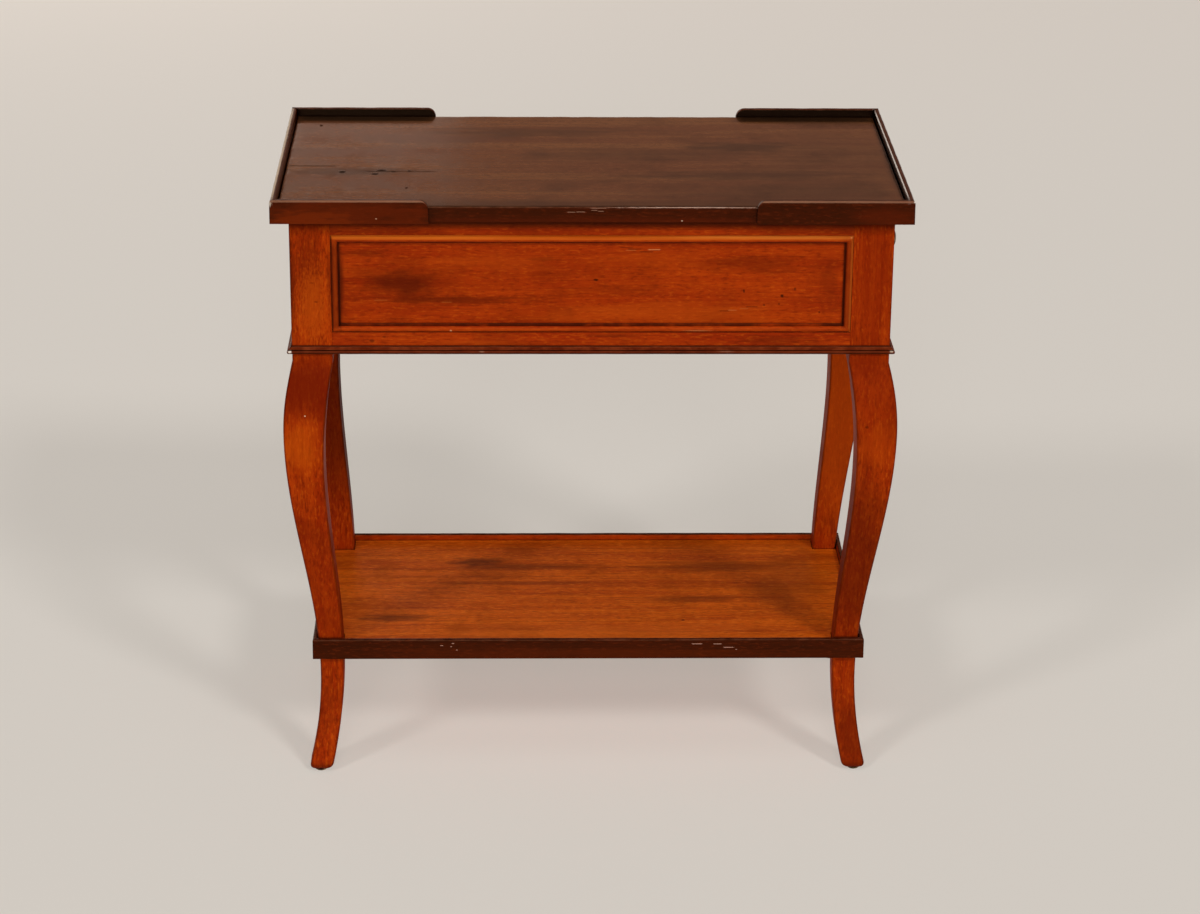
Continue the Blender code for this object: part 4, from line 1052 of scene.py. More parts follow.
class Workshop:
    """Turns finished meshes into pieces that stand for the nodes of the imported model."""

    def __init__(self, nodes: dict[str, Object], finishes: Finishes) -> None:
        """Keep the nodes and the finishes.

        Args:
            nodes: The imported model's objects by name.
            finishes: The materials.
        """
        self.nodes = nodes
        self.finishes = finishes

    def copy_of(self, node: str) -> BMesh:
        """A clean copy of a node: its triangles merged and its flat faces made whole.

        Args:
            node: The node's name.

        Returns:
            The mesh.
        """
        bm = bmesh.new()
        bm.from_mesh(self.nodes[node].data)
        bmesh.ops.remove_doubles(bm, verts=bm.verts[:], dist=MERGE_DISTANCE)
        bmesh.ops.dissolve_limit(
            bm,
            angle_limit=math.radians(FLAT_DEGREES),
            verts=bm.verts[:],
            edges=bm.edges[:],
            use_dissolve_boundaries=False,
        )
        return bm

    def place(
        self,
        node: str,
        bm: BMesh,
        materials: Sequence[Material],
        slot: Slot,
        body: Body = Body.TABLE,
    ) -> None:
        """Make a piece from a mesh, in place of the node of the same name.

        Args:
            node: The node that the piece stands for.
            bm: The piece's mesh, which is used up.
            materials: Its materials, in the order of the mesh's material numbers.
            slot: Not used.
            body: The body that it moves with.
        """
        mesh = bpy.data.meshes.new(f"{node}_mesh")
        for layer_name in (WEAR_AND_HIGHLIGHT_LAYER, GLAZE_AND_SHADE_LAYER):
            paint(bm, layer_name, ())
        bm.to_mesh(mesh)
        bm.free()
        for material in materials:
            mesh.materials.append(material)
        mesh.shade_smooth()
        mesh.set_sharp_from_angle(angle=math.radians(SMOOTH_DEGREES))
        piece = bpy.data.objects.new(f"{node}_finished", mesh)
        bpy.context.scene.collection.objects.link(piece)
        level = piece.modifiers.new("flat_faces", "WEIGHTED_NORMAL")
        level.keep_sharp = True
        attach(piece, body.value)
        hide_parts(node)
        LOG.info("%s: %d faces", piece.name, len(mesh.polygons))

    def eased_copy(
        self,
        node: str,
        material: Material,
        slot: Slot,
        radius: float,
        body: Body = Body.TABLE,
    ) -> None:
        """Make a piece from a copy of a node, with its sharp outer edges eased.

        Args:
            node: The node's name.
            material: The piece's material.
            slot: The record's slot for its finish.
            radius: The radius of its edges.
            body: The body that it moves with.
        """
        bm = self.copy_of(node)
        ease(bm, sharp_edges(bm), radius, 2)
        self.place(node, bm, [material], slot, body)

    def repaint(self, node: str, material: Material) -> None:
        """Give a node that is shown as it is its finish.

        Args:
            node: The node's name.
            material: The material.
        """
        mesh = self.nodes[node].data
        mesh.materials.clear()
        mesh.materials.append(material)
        LOG.info("%s: repainted", node)


# Sub-assemblies


@dataclass(frozen=True)
class SawnFace:
    """How far one sawn face of a leg stands out from the post: an arc, an S and a flared foot."""

    knee: float
    swell: float
    ankle: float
    ankle_out: float
    floor_out: float

    def offset(self, height: float, start: float) -> float:
        """The face's place at one height.

        Args:
            height: The height above the floor.
            start: The height where the curve leaves the post.

        Returns:
            The distance out from the post's face.
        """
        if height >= start:
            return 0.0
        if height >= self.knee:
            rise = (height - self.knee) / (start - self.knee)
            return self.swell * (1 - rise**2)
        if height >= self.ankle:
            fall = (self.knee - height) / (self.knee - self.ankle)
            return self.swell + (self.ankle_out - self.swell) * fall**2 * (3 - 2 * fall)
        flare = (self.ankle - height) / self.ankle
        return self.ankle_out + (self.floor_out - self.ankle_out) * flare**2


CASE_HALF: Point = (0.311, 0.1625)
POST = 0.042
JOINT_GAP = 0.0003
CORNERS: dict[str, Point] = {
    "front_left": (-1.0, -1.0),
    "front_right": (1.0, -1.0),
    "back_left": (-1.0, 1.0),
    "back_right": (1.0, 1.0),
}


@dataclass
class CabrioleLegs:
    """Four legs, sawn to the same S-curve in both planes, with round toes and a glide under each.

    The square posts above the curve keep sharp corners, so that the rails meet them without a line.
    """

    shop: Workshop
    case_half: Point = CASE_HALF
    post: float = POST
    sole: float = 0.0028
    curve_start: float = 0.478
    post_start: float = 0.4895
    base_top: float = 0.4981
    arris: float = 0.003
    post_arris: float = 0.0006
    toe_round: float = 0.0075
    toe_rings: int = 7
    rings: int = 88
    arris_wear: float = 0.2
    arris_glaze: float = 0.4
    outer: SawnFace = SawnFace(0.402, 0.0108, 0.114, -0.0202, -0.005)
    inner: SawnFace = SawnFace(0.365, 0.0112, 0.128, -0.0037, 0.0115)

    def section(self, corner: Point, height: float) -> tuple[Vector, float]:
        """The middle and half the width of a leg at one height.

        Args:
            corner: The signs of the leg's corner.
            height: The height above the floor.

        Returns:
            The section's middle and half its width.
        """
        outer = self.outer.offset(height, self.curve_start)
        inner = self.inner.offset(height, self.curve_start) - self.post
        middle = (outer + inner) / 2
        x = corner[0] * (self.case_half[0] + middle)
        y = corner[1] * (self.case_half[1] + middle)
        below = max(0.0, self.sole + self.toe_round - height)
        inset = self.toe_round - math.sqrt(self.toe_round**2 - below**2)
        return Vector((x, y, height)), (outer - inner) / 2 - inset

    def leg_mesh(self, corner: Point, top: float) -> BMesh:
        """One leg, drawn up ring by ring from its sole.

        Args:
            corner: The signs of the leg's corner.
            top: The height of its upper end.

        Returns:
            The mesh.
        """
        bm = bmesh.new()
        middle, half = self.section(corner, self.sole)
        bmesh.ops.create_grid(bm, x_segments=1, y_segments=1, size=half)
        bmesh.ops.bevel(
            bm,
            geom=bm.verts[:],
            offset=self.arris,
            segments=4,
            profile=0.5,
            affect="VERTICES",
            material=-1,
        )
        bmesh.ops.translate(bm, vec=middle, verts=bm.verts)
        sole = face = bm.faces[:][0]
        toe = [1 - math.cos(math.pi / 2 * ring / self.toe_rings) for ring in range(1, self.toe_rings + 1)]
        levels = [(self.sole + self.toe_round * rise, self.arris) for rise in toe]
        start = levels[-1][0]
        step = (self.curve_start - start) / self.rings
        levels += [(start + step * (ring + 1), self.arris) for ring in range(self.rings)]
        levels += [(self.post_start, self.arris), (self.base_top, self.post_arris), (top, self.post_arris)]
        arris = self.arris
        for height, new_arris in levels:
            swept = bmesh.ops.extrude_face_region(bm, geom=[face])["geom"]
            if face is not sole:
                bmesh.ops.delete(bm, geom=[face], context="FACES_ONLY")
            face = faces_of(swept)[0]
            new_middle, new_half = self.section(corner, height)
            for vert in face.verts:
                for axis in (0, 1):
                    away = vert.co[axis] - middle[axis]
                    rounding = (half - abs(away)) * new_arris / arris
                    vert.co[axis] = new_middle[axis] + math.copysign(new_half - rounding, away)
                vert.co.z = height
            middle, half, arris = new_middle, new_half, new_arris
        bmesh.ops.recalc_face_normals(bm, faces=bm.faces[:])
        # The rounded corners below the posts get a little wear and painted shade, which gives the legs a dark
        # outline.
        for piece in bm.faces:
            turned = min(abs(piece.normal.x), abs(piece.normal.y)) > 0.2
            if turned and piece.calc_center_median().z < self.curve_start:
                paint(bm, WEAR_AND_HIGHLIGHT_LAYER, [piece], self.arris_wear)
                paint(bm, GLAZE_AND_SHADE_LAYER, [piece], self.arris_glaze)
        return bm

    def build(self) -> None:
        """Make the legs and dress the glides."""
        wood = self.shop.finishes.wood("leg_fruitwood", LEG_FRUITWOOD, Grain.ALONG_Z, LEG_MARKS)
        for name, corner in CORNERS.items():
            node = f"leg_{name}"
            bm = self.leg_mesh(corner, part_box(node)[1].z)
            self.shop.place(node, bm, [wood], Slot.FRUITWOOD)
            self.shop.repaint(f"glide_{name}", self.shop.finishes.metal())


@dataclass(frozen=True)
class Side:
    """One face of the case, with x along it, y into the case and z up from the floor."""

    angle: float
    opening: float
    reach: float
    grain: Grain

    def turned(self, bm: BMesh, reach: float | None = None) -> BMesh:
        """Stand a mesh on this face, or on a parallel one at another reach."""
        distance = self.reach if reach is None else reach
        bmesh.ops.translate(bm, vec=(0.0, -distance, 0.0), verts=bm.verts)
        bmesh.ops.rotate(bm, cent=(0.0, 0.0, 0.0), matrix=Matrix.Rotation(self.angle, 3, "Z"), verts=bm.verts)
        return bm


OPENINGS: Point = (2 * (CASE_HALF[0] - POST), 2 * (CASE_HALF[1] - POST))
SIDES: dict[str, Side] = {
    "front": Side(0.0, OPENINGS[0], CASE_HALF[1], Grain.ALONG_X),
    "right": Side(math.pi / 2, OPENINGS[1], CASE_HALF[0], Grain.ALONG_Y),
    "back": Side(math.pi, OPENINGS[0], CASE_HALF[1], Grain.ALONG_X),
    "left": Side(-math.pi / 2, OPENINGS[1], CASE_HALF[0], Grain.ALONG_Y),
}


@dataclass
class PlantedMoulding:
    """The mitred moulding inside an opening: fillet, bead and cove.

    The outer quirk holds glaze and painted shade, which differ along the bottom, right, top and left: heavy
    on the bottom and left, where little light falls, and faint on the right and top, which face the light.
    """

    shop: Workshop
    fillet: float = 0.0010
    bead: float = 0.0060
    cove: float = 0.0016
    edge: float = 0.0011
    proud: float = 0.0026
    backing: float = 0.0037
    mitre_gap: float = 0.00004
    rings: int = 24
    outer_glaze: Sequence[float] = (0.9, 0.15, 0.1, 0.75)

    def profile(self) -> list[Point]:
        """The section from its outer edge inwards, as (out, inward) points."""
        bead_middle = (self.fillet + self.bead / 2, self.backing)
        bead = arc(bead_middle, (self.bead / 2, self.proud), 180, 0, 14)
        width = self.fillet + self.bead + self.cove
        cove = arc((width, self.backing), (self.cove, self.backing - self.edge), 180, 270, 5)
        points = [(0.0, 0.0), (0.0, self.backing), *bead, *cove[1:], (width, 0.0)]
        return [(out, inward) for inward, out in points]

    def member(self, length: float, outer_glaze: float) -> BMesh:
        """One length, with glaze and painted shade in its two quirks, and its crest rubbed and painted
        brighter as a highlight.

        Args:
            length: Its length along its outer edge.
            outer_glaze: How much glaze and painted shade lies in the outer quirk.

        Returns:
            The mesh, along x, with its outer edge at z = 0.
        """
        bm = strip_mesh(self.profile(), length, (0.0, 0.0), cuts=self.rings)
        for piece in bm.faces:
            middle = piece.calc_center_median()
            rise = (-middle.y - self.backing) / self.proud
            share = outer_glaze if middle.z < self.fillet + self.bead / 2 else 1.0
            # The upper crest is painted brighter, as wear and as a painted highlight; the low parts get glaze
            # and painted shade.
            paint(bm, WEAR_AND_HIGHLIGHT_LAYER, [piece], min(1.0, max(0.0, 2.5 * rise - 1.5)))
            paint(bm, GLAZE_AND_SHADE_LAYER, [piece], share * min(1.0, max(0.0, 1.3 - 3.0 * rise)))
        for vert in bm.verts:
            vert.co.x *= 1 - 2 * vert.co.z / length
        return bm

    def build(self, node: str, side: Side, body: Body) -> None:
        """Make the four lengths round one opening.

        Args:
            node: The node that they stand for.
            side: The face of the case.
            body: The body that they move with.
        """
        low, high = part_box(node)
        along = side.grain.value
        half_length, half_height = (high[along] - low[along]) / 2, (high.z - low.z) / 2
        members = []
        # Bottom, right, top and left members, each with its own share of painted shade in the outer quirk.
        for turn, outer_glaze in enumerate(self.outer_glaze):
            upright = turn % 2
            reach, length = (half_length, half_height) if upright else (half_height, half_length)
            bm = self.member(2 * (length - self.mitre_gap), outer_glaze)
            for piece in bm.faces:
                piece.material_index = upright
            bmesh.ops.translate(bm, vec=(0.0, 0.0, -reach), verts=bm.verts)
            spin = Matrix.Rotation(-turn * math.pi / 2, 3, "Y")
            bmesh.ops.rotate(bm, cent=(0.0, 0.0, 0.0), matrix=spin, verts=bm.verts)
            members.append(bm)
        bm = joined(members)
        bmesh.ops.translate(bm, vec=(0.0, self.backing, (low.z + high.z) / 2), verts=bm.verts)
        side.turned(bm)
        woods = [
            self.shop.finishes.wood("moulding_fruitwood", MOULDING_FRUITWOOD, grain, MOULDING_MARKS)
            for grain in (side.grain, Grain.ALONG_Z)
        ]
        self.shop.place(node, bm, woods, Slot.FRUITWOOD, body)


@dataclass
class PanelledCase:
    """Rails, panels and mouldings between the legs, and the bead and cove at the foot of the case."""

    shop: Workshop
    moulding: PlantedMoulding
    tenon: float = 0.02002
    tongue: float = 0.0053
    bead_radius: float = 0.0024
    cove_radius: float = 0.0030
    step: float = 0.0008
    base_rings: int = 80
    unevenness: float = 0.00018
    uneven_pitch: float = 0.02
    hollow_glaze: float = 0.55
    quirk_from: float = 0.80
    crest_wear: float = 0.25

    def trimmed(self, node: str, trims: Sequence[tuple[int, float]]) -> BMesh:
        """A node's block without its hidden tenons or tongues.

        Args:
            node: The node's name.
            trims: How much comes off both ends of each axis.

        Returns:
            The mesh.
        """
        low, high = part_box(node)
        for axis, size in trims:
            low[axis] += size
            high[axis] -= size
        return box_mesh(low, high)

    def base_profile(self) -> list[Point]:
        """Bead, step and cove, as (out, up) points."""
        radius = self.bead_radius
        bead = arc((radius, radius), (radius, radius), -90, 90, 14)
        step_up = 2 * radius + self.step
        middle = (self.cove_radius + self.step, step_up + self.cove_radius)
        cove = arc(middle, (self.cove_radius, self.cove_radius), 270, 180, 7)
        return [(0.0, 0.0), *bead, (middle[0], 2 * radius), *cove, (0.0, middle[1])]

    def base_mesh(self, length: float) -> BMesh:
        """One length of the bead and cove, a little uneven, with painted shade in the upper cove, glaze and
        painted shade in the quirk above the bead, and a painted highlight on the step.

        Args:
            length: Its length along its back.

        Returns:
            The mesh.
        """
        bm = strip_mesh(self.base_profile(), length, (1.0, 1.0), cuts=self.base_rings)
        bead_top = 2 * self.bead_radius
        hollow = bead_top + self.step + 0.55 * self.cove_radius
        # Painted shade in the upper cove and the quirk, a painted highlight on the step, and wear with a
        # painted highlight on the bead's front.
        for piece in bm.faces:
            height = piece.calc_center_median().z
            if height > hollow:
                paint(bm, GLAZE_AND_SHADE_LAYER, [piece], self.hollow_glaze)
            elif height > bead_top:
                paint(bm, WEAR_AND_HIGHLIGHT_LAYER, [piece], 1.0)
            elif height > self.quirk_from * bead_top:
                paint(bm, GLAZE_AND_SHADE_LAYER, [piece], 1.0)
            elif piece.normal.y < -0.5:
                paint(bm, WEAR_AND_HIGHLIGHT_LAYER, [piece], self.crest_wear)
        roughen(bm, bm.verts, self.unevenness, self.uneven_pitch)
        return bm

    def build(self) -> None:
        """Make the rails, panels and mouldings."""
        finishes = self.shop.finishes
        for side_name, side in SIDES.items():
            along = side.grain.value
            wood = finishes.wood("case_fruitwood", FRUITWOOD, side.grain, RAIL_MARKS)
            for level in ("top", "bottom"):
                node = f"{side_name}_{level}_rail"
                self.shop.place(node, self.trimmed(node, [(along, self.tenon)]), [wood], Slot.FRUITWOOD)
            if side_name != "right":
                marks = FRONT_PANEL_MARKS if side_name == "front" else []
                board = finishes.wood(f"{side_name}_panel_fruitwood", FRUITWOOD, side.grain, marks)
                node = f"{side_name}_panel"
                trims = [(along, self.tongue), (2, self.tongue)]
                self.shop.place(node, self.trimmed(node, trims), [board], Slot.FRUITWOOD)
                self.moulding.build(f"{side_name}_panel_moulding", side, Body.TABLE)
            node = f"base_moulding_{side_name}"
            bm = self.base_mesh(side.opening + 2 * POST)
            bmesh.ops.translate(bm, vec=(0.0, 0.0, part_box(node)[0].z), verts=bm.verts)
            side.turned(bm, side.reach + JOINT_GAP)
            dark = finishes.wood("bead_walnut", BEAD_WALNUT, side.grain, BASE_MARKS)
            self.shop.place(node, bm, [dark], Slot.DARK_WOOD)


@dataclass
class TrayTop:
    """The dark top board with a low gallery that is open along the middle of both long sides."""

    shop: Workshop
    half_length: float = 0.329
    half_depth: float = 0.1805
    thickness: float = 0.007
    bottom: float = 0.635
    height: float = 0.025
    returned: float = 0.1615
    end_radius: float = 0.010
    arris: float = 0.0029
    board_arris: float = 0.0015
    point_pitch: float = 0.006
    edge_wear: float = 0.0006
    strip_wear_pitch: float = 0.014
    board_wear_pitch: float = 0.016
    board_rings: int = 100

    def outline(self, length: float, rounded: bool) -> list[Point]:
        """The side view of a strip, with its points along the top, as (x, z).

        Args:
            length: The length of the strip's back.
            rounded: Whether the end at -x has a quarter round.

        Returns:
            The points, from the lower end at -x.
        """
        radius = self.end_radius if rounded else 0.0
        start = -length / 2 + radius
        count = max(2, round((length - radius) / self.point_pitch))
        along = [start + (length - radius) * i / count for i in range(count + 1)]
        top = [(x, self.height) for x in along]
        if rounded:
            middle = (start, self.height - radius)
            top = [*arc(middle, (radius, radius), 180, 90, 8)[:-1], *top]
        return [(-length / 2, 0.0), *top, (length / 2, 0.0)]

    def strip(self, length: float, rounded: bool) -> BMesh:
        """A gallery strip, mitred at both ends or at one, with worn top edges whose upper part is painted as
        a highlight.

        Args:
            length: The length of the strip's back.
            rounded: Whether the end at -x is free and rounded.

        Returns:
            The mesh, with its back in the plane y = 0.
        """
        bm = bmesh.new()
        face = bm.faces.new([bm.verts.new((x, 0.0, z)) for x, z in self.outline(length, rounded)])
        swept = verts_of(bmesh.ops.extrude_face_region(bm, geom=[face])["geom"])
        bmesh.ops.translate(bm, vec=(0.0, -self.thickness, 0.0), verts=swept)
        for vert in swept:
            if vert.co.x > length / 2 - FINE_DISTANCE:
                vert.co.x += self.thickness
            elif not rounded and vert.co.x < -length / 2 + FINE_DISTANCE:
                vert.co.x -= self.thickness
        bmesh.ops.recalc_face_normals(bm, faces=bm.faces[:])
        upper = []
        for edge in bm.edges:
            flat = abs(edge.verts[0].co.y - edge.verts[1].co.y) < FINE_DISTANCE
            high = min(v.co.z for v in edge.verts) > self.height - self.end_radius - FINE_DISTANCE
            if flat and high:
                upper.append(edge)
        for piece in bm.faces:
            piece.material_index = int(piece.normal.y > 0.5)
        worn = ease(bm, upper, self.arris, 5, 0.0)
        # The upper part of each rounded top edge, which faces the light, is painted pale: wear and a painted
        # highlight.
        paint(bm, WEAR_AND_HIGHLIGHT_LAYER, [piece for piece in worn if 0.3 < piece.normal.z < 0.9])
        roughen(bm, {vert for piece in worn for vert in piece.verts}, self.edge_wear, self.strip_wear_pitch)
        bmesh.ops.translate(bm, vec=(0.0, 0.0, self.bottom), verts=bm.verts)
        return bm

    def board(self) -> BMesh:
        """The board, with its upper edges worn round."""
        low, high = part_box("top_board")
        bm = box_mesh(low, high)
        long_edges = [edge for edge in bm.edges if edge.calc_length() > self.half_length]
        bmesh.ops.subdivide_edges(bm, edges=long_edges, cuts=self.board_rings, use_grid_fill=True)
        rim = []
        for edge in bm.edges:
            upper = all(v.co.z > high.z - FINE_DISTANCE for v in edge.verts)
            if upper and edge.calc_face_angle(0.0) > 1.0:
                rim.append(edge)
        for piece in bm.faces:
            piece.material_index = int(piece.normal.z < 0.5)
        worn = ease(bm, rim, self.board_arris, 4, 0.5)
        roughen(bm, {vert for piece in worn for vert in piece.verts}, self.edge_wear, self.board_wear_pitch)
        return bm

    def woods(self, grain: Grain) -> list[Material]:
        """The finishes of a strip's outside and of its inner face."""
        finishes = self.shop.finishes
        stain = END_WALNUT if grain is Grain.ALONG_Y else DARK_WALNUT
        outside = finishes.wood("gallery_walnut", stain, grain, GALLERY_MARKS)
        return [outside, finishes.wood("gallery_inside_walnut", BLACK_WALNUT, grain)]

    def build(self) -> None:
        """Make the board and the six strips."""
        finishes = self.shop.finishes
        board = finishes.wood("top_walnut", TOP_WALNUT, Grain.ALONG_X, TOP_MARKS)
        edge = finishes.wood("top_edge_walnut", DARK_WALNUT, Grain.ALONG_X, EDGE_MARKS)
        self.shop.place("top_board", self.board(), [board, edge], Slot.DARK_WOOD)
        inner_length = self.half_length - self.thickness
        inner_depth = self.half_depth - self.thickness
        for name in ("left", "right"):
            side = SIDES[name]
            bm = side.turned(self.strip(2 * inner_depth, False), inner_length)
            woods = self.woods(side.grain)
            if name == "left":
                # The inner face of this strip takes its outside's brown, painted lighter than the other inner
                # faces because light falls on it.
                woods = woods[:1] * 2
            self.shop.place(f"gallery_{name}", bm, woods, Slot.DARK_WOOD)
        length = self.returned - self.thickness - JOINT_GAP
        for name, corner in CORNERS.items():
            side = SIDES[name.split("_")[0]]
            bm = self.strip(length, True)
            if corner[0] * corner[1] > 0:
                bmesh.ops.scale(bm, vec=(-1.0, 1.0, 1.0), verts=bm.verts)
                bmesh.ops.reverse_faces(bm, faces=bm.faces[:])
            hand = -corner[0] * corner[1]
            shift = hand * (inner_length - JOINT_GAP - length / 2)
            bmesh.ops.translate(bm, vec=(shift, 0.0, 0.0), verts=bm.verts)
            side.turned(bm, inner_depth)
            self.shop.place(f"gallery_{name}", bm, self.woods(side.grain), Slot.DARK_WOOD)


@dataclass
class TrayShelf:
    """The low shelf, notched round the legs, with a raised strip on each edge."""

    shop: Workshop
    inner_half: Point = (0.29297, 0.14447)
    bottom: float = 0.1342
    height: float = 0.0228
    thickness: float = 0.0055
    arris: float = 0.0018
    board_arris: float = 0.0005
    rings: int = 70
    rubbed_and_highlight: float = 0.35
    edge_wear: float = 0.0005
    wear_pitch: float = 0.015

    def profile(self) -> list[Point]:
        """A strip's section with its two top edges eased, as (out, up) points."""
        ease_out = (self.arris, self.arris)
        outer = arc((self.thickness - self.arris, self.height - self.arris), ease_out, 0, 90, 4)
        inner = arc((self.arris, self.height - self.arris), ease_out, 90, 180, 4)
        return [(0.0, 0.0), (self.thickness, 0.0), *outer, *inner]

    def build(self) -> None:
        """Make the board and the four strips."""
        finishes = self.shop.finishes
        wood = finishes.wood("shelf_fruitwood", SHELF_FRUITWOOD, Grain.ALONG_X, SHELF_MARKS)
        self.shop.eased_copy("shelf_board", wood, Slot.FRUITWOOD, self.board_arris)
        for name, side in SIDES.items():
            half, reach = self.inner_half if side.grain is Grain.ALONG_X else self.inner_half[::-1]
            bm = strip_mesh(self.profile(), 2 * (half - JOINT_GAP), (1.0, 1.0), cuts=self.rings)
            for piece in bm.faces:
                piece.material_index = int(piece.normal.y > 0.9)
            worn = [f for f in bm.faces if f.normal.z > 0.1 and abs(f.normal.x) < 0.5]
            paint(bm, WEAR_AND_HIGHLIGHT_LAYER, worn, self.rubbed_and_highlight)
            worn_points = {vert for piece in worn for vert in piece.verts}
            roughen(bm, worn_points, self.edge_wear, self.wear_pitch)
            bmesh.ops.translate(bm, vec=(0.0, 0.0, self.bottom), verts=bm.verts)
            side.turned(bm, reach)
            woods = [
                finishes.wood("shelf_strip_walnut", DARK_WALNUT, side.grain, STRIP_MARKS),
                finishes.wood("shelf_strip_inside", RED_WALNUT, side.grain),
            ]
            self.shop.place(f"shelf_strip_{name}", bm, woods, Slot.DARK_WOOD)


@dataclass
class EndDrawer:
    """The drawer in the right end, its knob, and the ways that it slides on."""

    shop: Workshop
    moulding: PlantedMoulding
    face: float = 0.307
    knob_radius: float = 0.014
    knob_length: float = 0.025
    dome: float = 0.009
    rim: float = 0.0005
    under: float = 0.0045
    neck: float = 0.0055
    waist: Point = (0.003, 0.004)
    foot: Point = (0.0085, 0.003)
    arris: float = 0.0005

    def knob(self) -> BMesh:
        """The turned knob, spun about its axis and turned to point out of the drawer."""
        low = self.knob_length - self.dome
        dome = arc((0.0, low), (self.knob_radius, self.dome), 90, 0, 14)
        under = arc((self.neck, low - self.rim), (self.knob_radius - self.neck, self.under), 0, -90, 8)
        waist_middle = (self.neck + self.waist[0], self.foot[1] + self.waist[1])
        waist = arc(waist_middle, self.waist, 180, 270, 6)
        foot = [self.foot, (self.foot[0], 0.0), (0.0, 0.0)]
        points = [(0.0, self.knob_length), *dome[1:], *under, *waist, *foot]
        bm = bmesh.new()
        verts = [bm.verts.new((radius, 0.0, height)) for radius, height in points]
        edges = [bm.edges.new(pair) for pair in zip(verts, verts[1:])]
        bmesh.ops.spin(
            bm,
            geom=[*verts, *edges],
            axis=(0.0, 0.0, 1.0),
            cent=(0.0, 0.0, 0.0),
            angle=2 * math.pi,
            steps=48,
            use_merge=True,
        )
        bmesh.ops.remove_doubles(bm, verts=bm.verts[:], dist=MERGE_DISTANCE)
        bmesh.ops.recalc_face_normals(bm, faces=bm.faces[:])
        outward = Matrix.Rotation(math.pi / 2, 3, "Y")
        bmesh.ops.rotate(bm, cent=(0.0, 0.0, 0.0), matrix=outward, verts=bm.verts)
        low_corner, high_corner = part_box("drawer_knob")
        height = (low_corner.z + high_corner.z) / 2
        bmesh.ops.translate(bm, vec=(self.face + JOINT_GAP, 0.0, height), verts=bm.verts)
        return bm

    def build(self) -> None:
        """Make the drawer and dress its ways."""
        shop, finishes = self.shop, self.shop.finishes
        face = finishes.wood("drawer_front_fruitwood", FRUITWOOD, Grain.ALONG_Y)
        shop.eased_copy("drawer_front", face, Slot.FRUITWOOD, self.arris, Body.DRAWER)
        self.moulding.build("drawer_moulding", SIDES["right"], Body.DRAWER)
        shop.place("drawer_knob", self.knob(), [finishes.metal()], Slot.METAL, Body.DRAWER)
        shop.repaint("drawer_knob_screw", finishes.metal())
        bare_x = finishes.wood("bare_poplar", BARE_POPLAR, Grain.ALONG_X)
        bare_y = finishes.wood("bare_poplar", BARE_POPLAR, Grain.ALONG_Y)
        for node in ("drawer_side_front", "drawer_side_back"):
            shop.eased_copy(node, bare_x, Slot.HARDWOOD, self.arris, Body.DRAWER)
        for node in ("drawer_back", "drawer_bottom"):
            shop.eased_copy(node, bare_y, Slot.HARDWOOD, self.arris, Body.DRAWER)
        for row in ("front", "back"):
            for piece in ("runner", "kicker", "stop"):
                shop.eased_copy(f"drawer_{piece}_{row}", bare_x, Slot.HARDWOOD, self.arris)
            for end in ("left", "right"):
                shop.eased_copy(f"glue_block_{row}_{end}", bare_x, Slot.HARDWOOD, self.arris)
                shop.repaint(f"shelf_dowel_{row}_{end}", bare_x)


class LampKind(Enum):
    """The kinds of studio lamp: one so far off that its light is even, and a flat panel."""

    FAR = "SUN"
    PANEL = "AREA"


@dataclass(frozen=True)
class Lamp:
    """A soft studio lamp that looks at the middle of the table.

    Attributes:
        name: The lamp's name.
        kind: The kind of lamp.
        azimuth: Degrees to the right of the front.
        elevation: Degrees above the floor.
        distance: The way to the table.
        size: The width and height of a panel in metres, or twice the angle of a far lamp in degrees.
        power: Watts of a panel, or watts a square metre of a far lamp.
        color: Its colour.
    """

    name: str
    kind: LampKind
    azimuth: float
    elevation: float
    distance: float
    size: Point
    power: float
    color: str = "#FFFFFF"


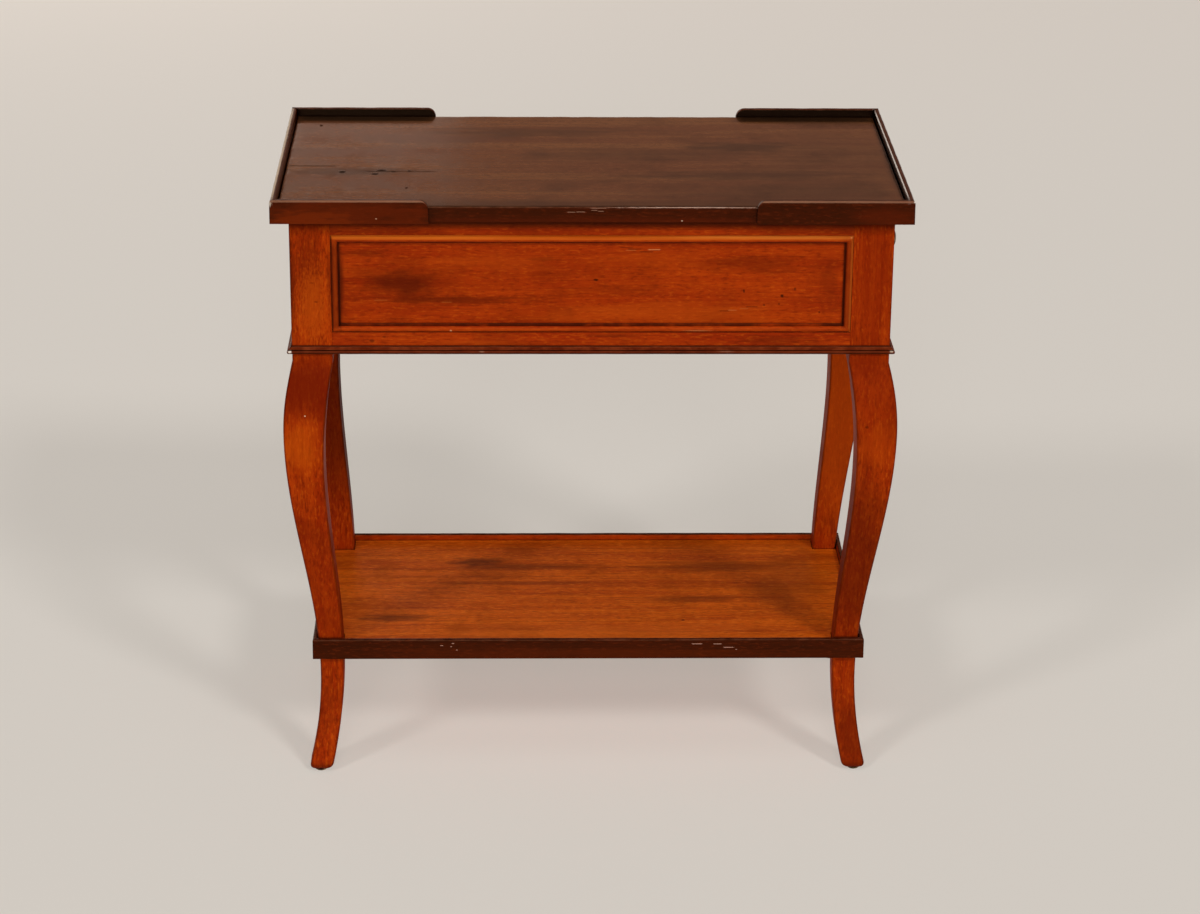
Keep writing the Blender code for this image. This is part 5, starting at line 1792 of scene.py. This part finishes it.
@dataclass
class Studio:
    """A pale floor, soft lamps and a camera at the photograph's angle."""

    aim: Triple = (0.0, 0.0, 0.36)
    floor_color: str = "#EDE7DE"
    floor_glow: float = 0.42
    floor_size: float = 120.0
    world_color: str = "#FFF2E4"
    world_strength: float = 0.10
    backdrop_strength: float = 0.56
    lens: float = 97.29
    pitch: float = 21.34
    yaw: float = 1.60
    roll: float = 0.54
    camera_place: Triple = (-0.079, -3.344, 1.617)
    lamps: Sequence[Lamp] = (
        Lamp("front_fill", LampKind.FAR, -2.0, 20.0, 6.0, (22.0, 22.0), 1.02),
        Lamp("key_right", LampKind.FAR, 33.0, 36.0, 6.0, (10.0, 10.0), 0.90),
        Lamp("key_left", LampKind.FAR, -42.0, 36.0, 6.0, (10.0, 10.0), 0.62),
        Lamp("warm_wall", LampKind.PANEL, 178.0, 19.0, 5.2, (5.0, 2.2), 10.0, "#FF9C68"),
        Lamp("window", LampKind.PANEL, -160.0, 8.0, 4.4, (2.6, 1.6), 9.0, "#FFF4E8"),
        Lamp("overhead", LampKind.PANEL, -4.0, 68.0, 3.0, (1.8, 1.2), 8.0),
    )

    def floor(self) -> None:
        """Lay the floor, partly unshaded to the eye and mirrors, so that it is pale but keeps its shadow."""
        bm = bmesh.new()
        bmesh.ops.create_grid(bm, x_segments=1, y_segments=1, size=self.floor_size / 2)
        mesh = bpy.data.meshes.new("floor")
        bm.to_mesh(mesh)
        bm.free()
        material = bpy.data.materials.new("pale_floor")
        material.use_nodes = True
        tree = material.node_tree
        shader = tree.nodes["Principled BSDF"]
        shader.inputs["Base Color"].default_value = linear(self.floor_color)
        shader.inputs["Roughness"].default_value = 0.8
        rays = add(tree, "ShaderNodeLightPath").outputs
        direct = {0: rays["Is Camera Ray"], 1: rays["Is Glossy Ray"]}
        eyes = add(tree, "ShaderNodeMath", direct, operation="MAXIMUM")
        seen = {0: eyes.outputs[0], 1: rays["Is Transmission Ray"]}
        seeing = add(tree, "ShaderNodeMath", seen, operation="MAXIMUM").outputs[0]
        share = add(tree, "ShaderNodeMath", {0: seeing, 1: self.floor_glow}, operation="MULTIPLY").outputs[0]
        glow = add(tree, "ShaderNodeEmission", {"Color": linear(self.floor_color)}).outputs[0]
        mixed = add(tree, "ShaderNodeMixShader", {0: share, 1: shader.outputs[0], 2: glow}).outputs[0]
        tree.links.new(mixed, tree.nodes["Material Output"].inputs["Surface"])
        mesh.materials.append(material)
        floor = bpy.data.objects.new("floor", mesh)
        bpy.context.scene.collection.objects.link(floor)

    def light(self) -> None:
        """Hang the lamps and set the world."""
        scene = bpy.context.scene
        aim = Vector(self.aim)
        for lamp in self.lamps:
            data = bpy.data.lights.new(lamp.name, lamp.kind.value)
            data.energy = lamp.power
            data.color = linear(lamp.color)[:3]
            if lamp.kind is LampKind.FAR:
                data.angle = math.radians(lamp.size[0])
            else:
                data.shape = "RECTANGLE"
                data.size, data.size_y = lamp.size
            obj = bpy.data.objects.new(lamp.name, data)
            turn, rise = math.radians(lamp.azimuth), math.radians(lamp.elevation)
            away = Vector((math.sin(turn) * math.cos(rise), -math.cos(turn) * math.cos(rise), math.sin(rise)))
            obj.location = aim + away * lamp.distance
            obj.rotation_euler = (-away).to_track_quat("-Z", "Y").to_euler()
            obj.visible_camera = False
            scene.collection.objects.link(obj)
        world = bpy.data.worlds.new("studio")
        world.use_nodes = True
        tree = world.node_tree
        back = tree.nodes["Background"]
        back.inputs["Color"].default_value = linear(self.world_color)
        # The eye sees a pale backdrop, while the table is lit by the weaker one.
        eye = add(tree, "ShaderNodeLightPath").outputs["Is Camera Ray"]
        more = {0: eye, 1: self.backdrop_strength - self.world_strength, 2: self.world_strength}
        strength = add(tree, "ShaderNodeMath", more, operation="MULTIPLY_ADD").outputs[0]
        tree.links.new(strength, back.inputs["Strength"])
        scene.world = world

    def camera(self) -> None:
        """Set up the camera."""
        pitch, yaw, roll = (math.radians(a) for a in (self.pitch, self.yaw, self.roll))
        ahead = Vector((math.sin(yaw) * math.cos(pitch), math.cos(yaw) * math.cos(pitch), -math.sin(pitch)))
        level = Vector((math.cos(yaw), -math.sin(yaw), 0.0))
        upright = level.cross(ahead)
        right = math.cos(roll) * level + math.sin(roll) * upright
        up = math.cos(roll) * upright - math.sin(roll) * level
        turn = Matrix((right, up, -ahead)).transposed()
        data = bpy.data.cameras.new("camera")
        data.lens = self.lens
        data.sensor_width = 36.0
        camera = bpy.data.objects.new("camera", data)
        camera.matrix_world = Matrix.Translation(self.camera_place) @ turn.to_4x4()
        bpy.context.scene.collection.objects.link(camera)
        bpy.context.scene.camera = camera

    def build(self) -> None:
        """Set up the whole stage."""
        self.floor()
        self.light()
        self.camera()
        bpy.context.scene.view_settings.view_transform = "Standard"


def main() -> None:
    """Build and dress the whole table."""
    logging.basicConfig(level=logging.INFO, format="%(name)s %(message)s")
    for obj in list(bpy.data.objects):
        bpy.data.objects.remove(obj, do_unlink=True)
    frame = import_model()
    shop = Workshop(frame["nodes"], Finishes())
    moulding = PlantedMoulding(shop)
    CabrioleLegs(shop).build()
    PanelledCase(shop, moulding).build()
    TrayTop(shop).build()
    TrayShelf(shop).build()
    EndDrawer(shop, moulding).build()
    Studio().build()


if __name__ == "__main__":
    main()
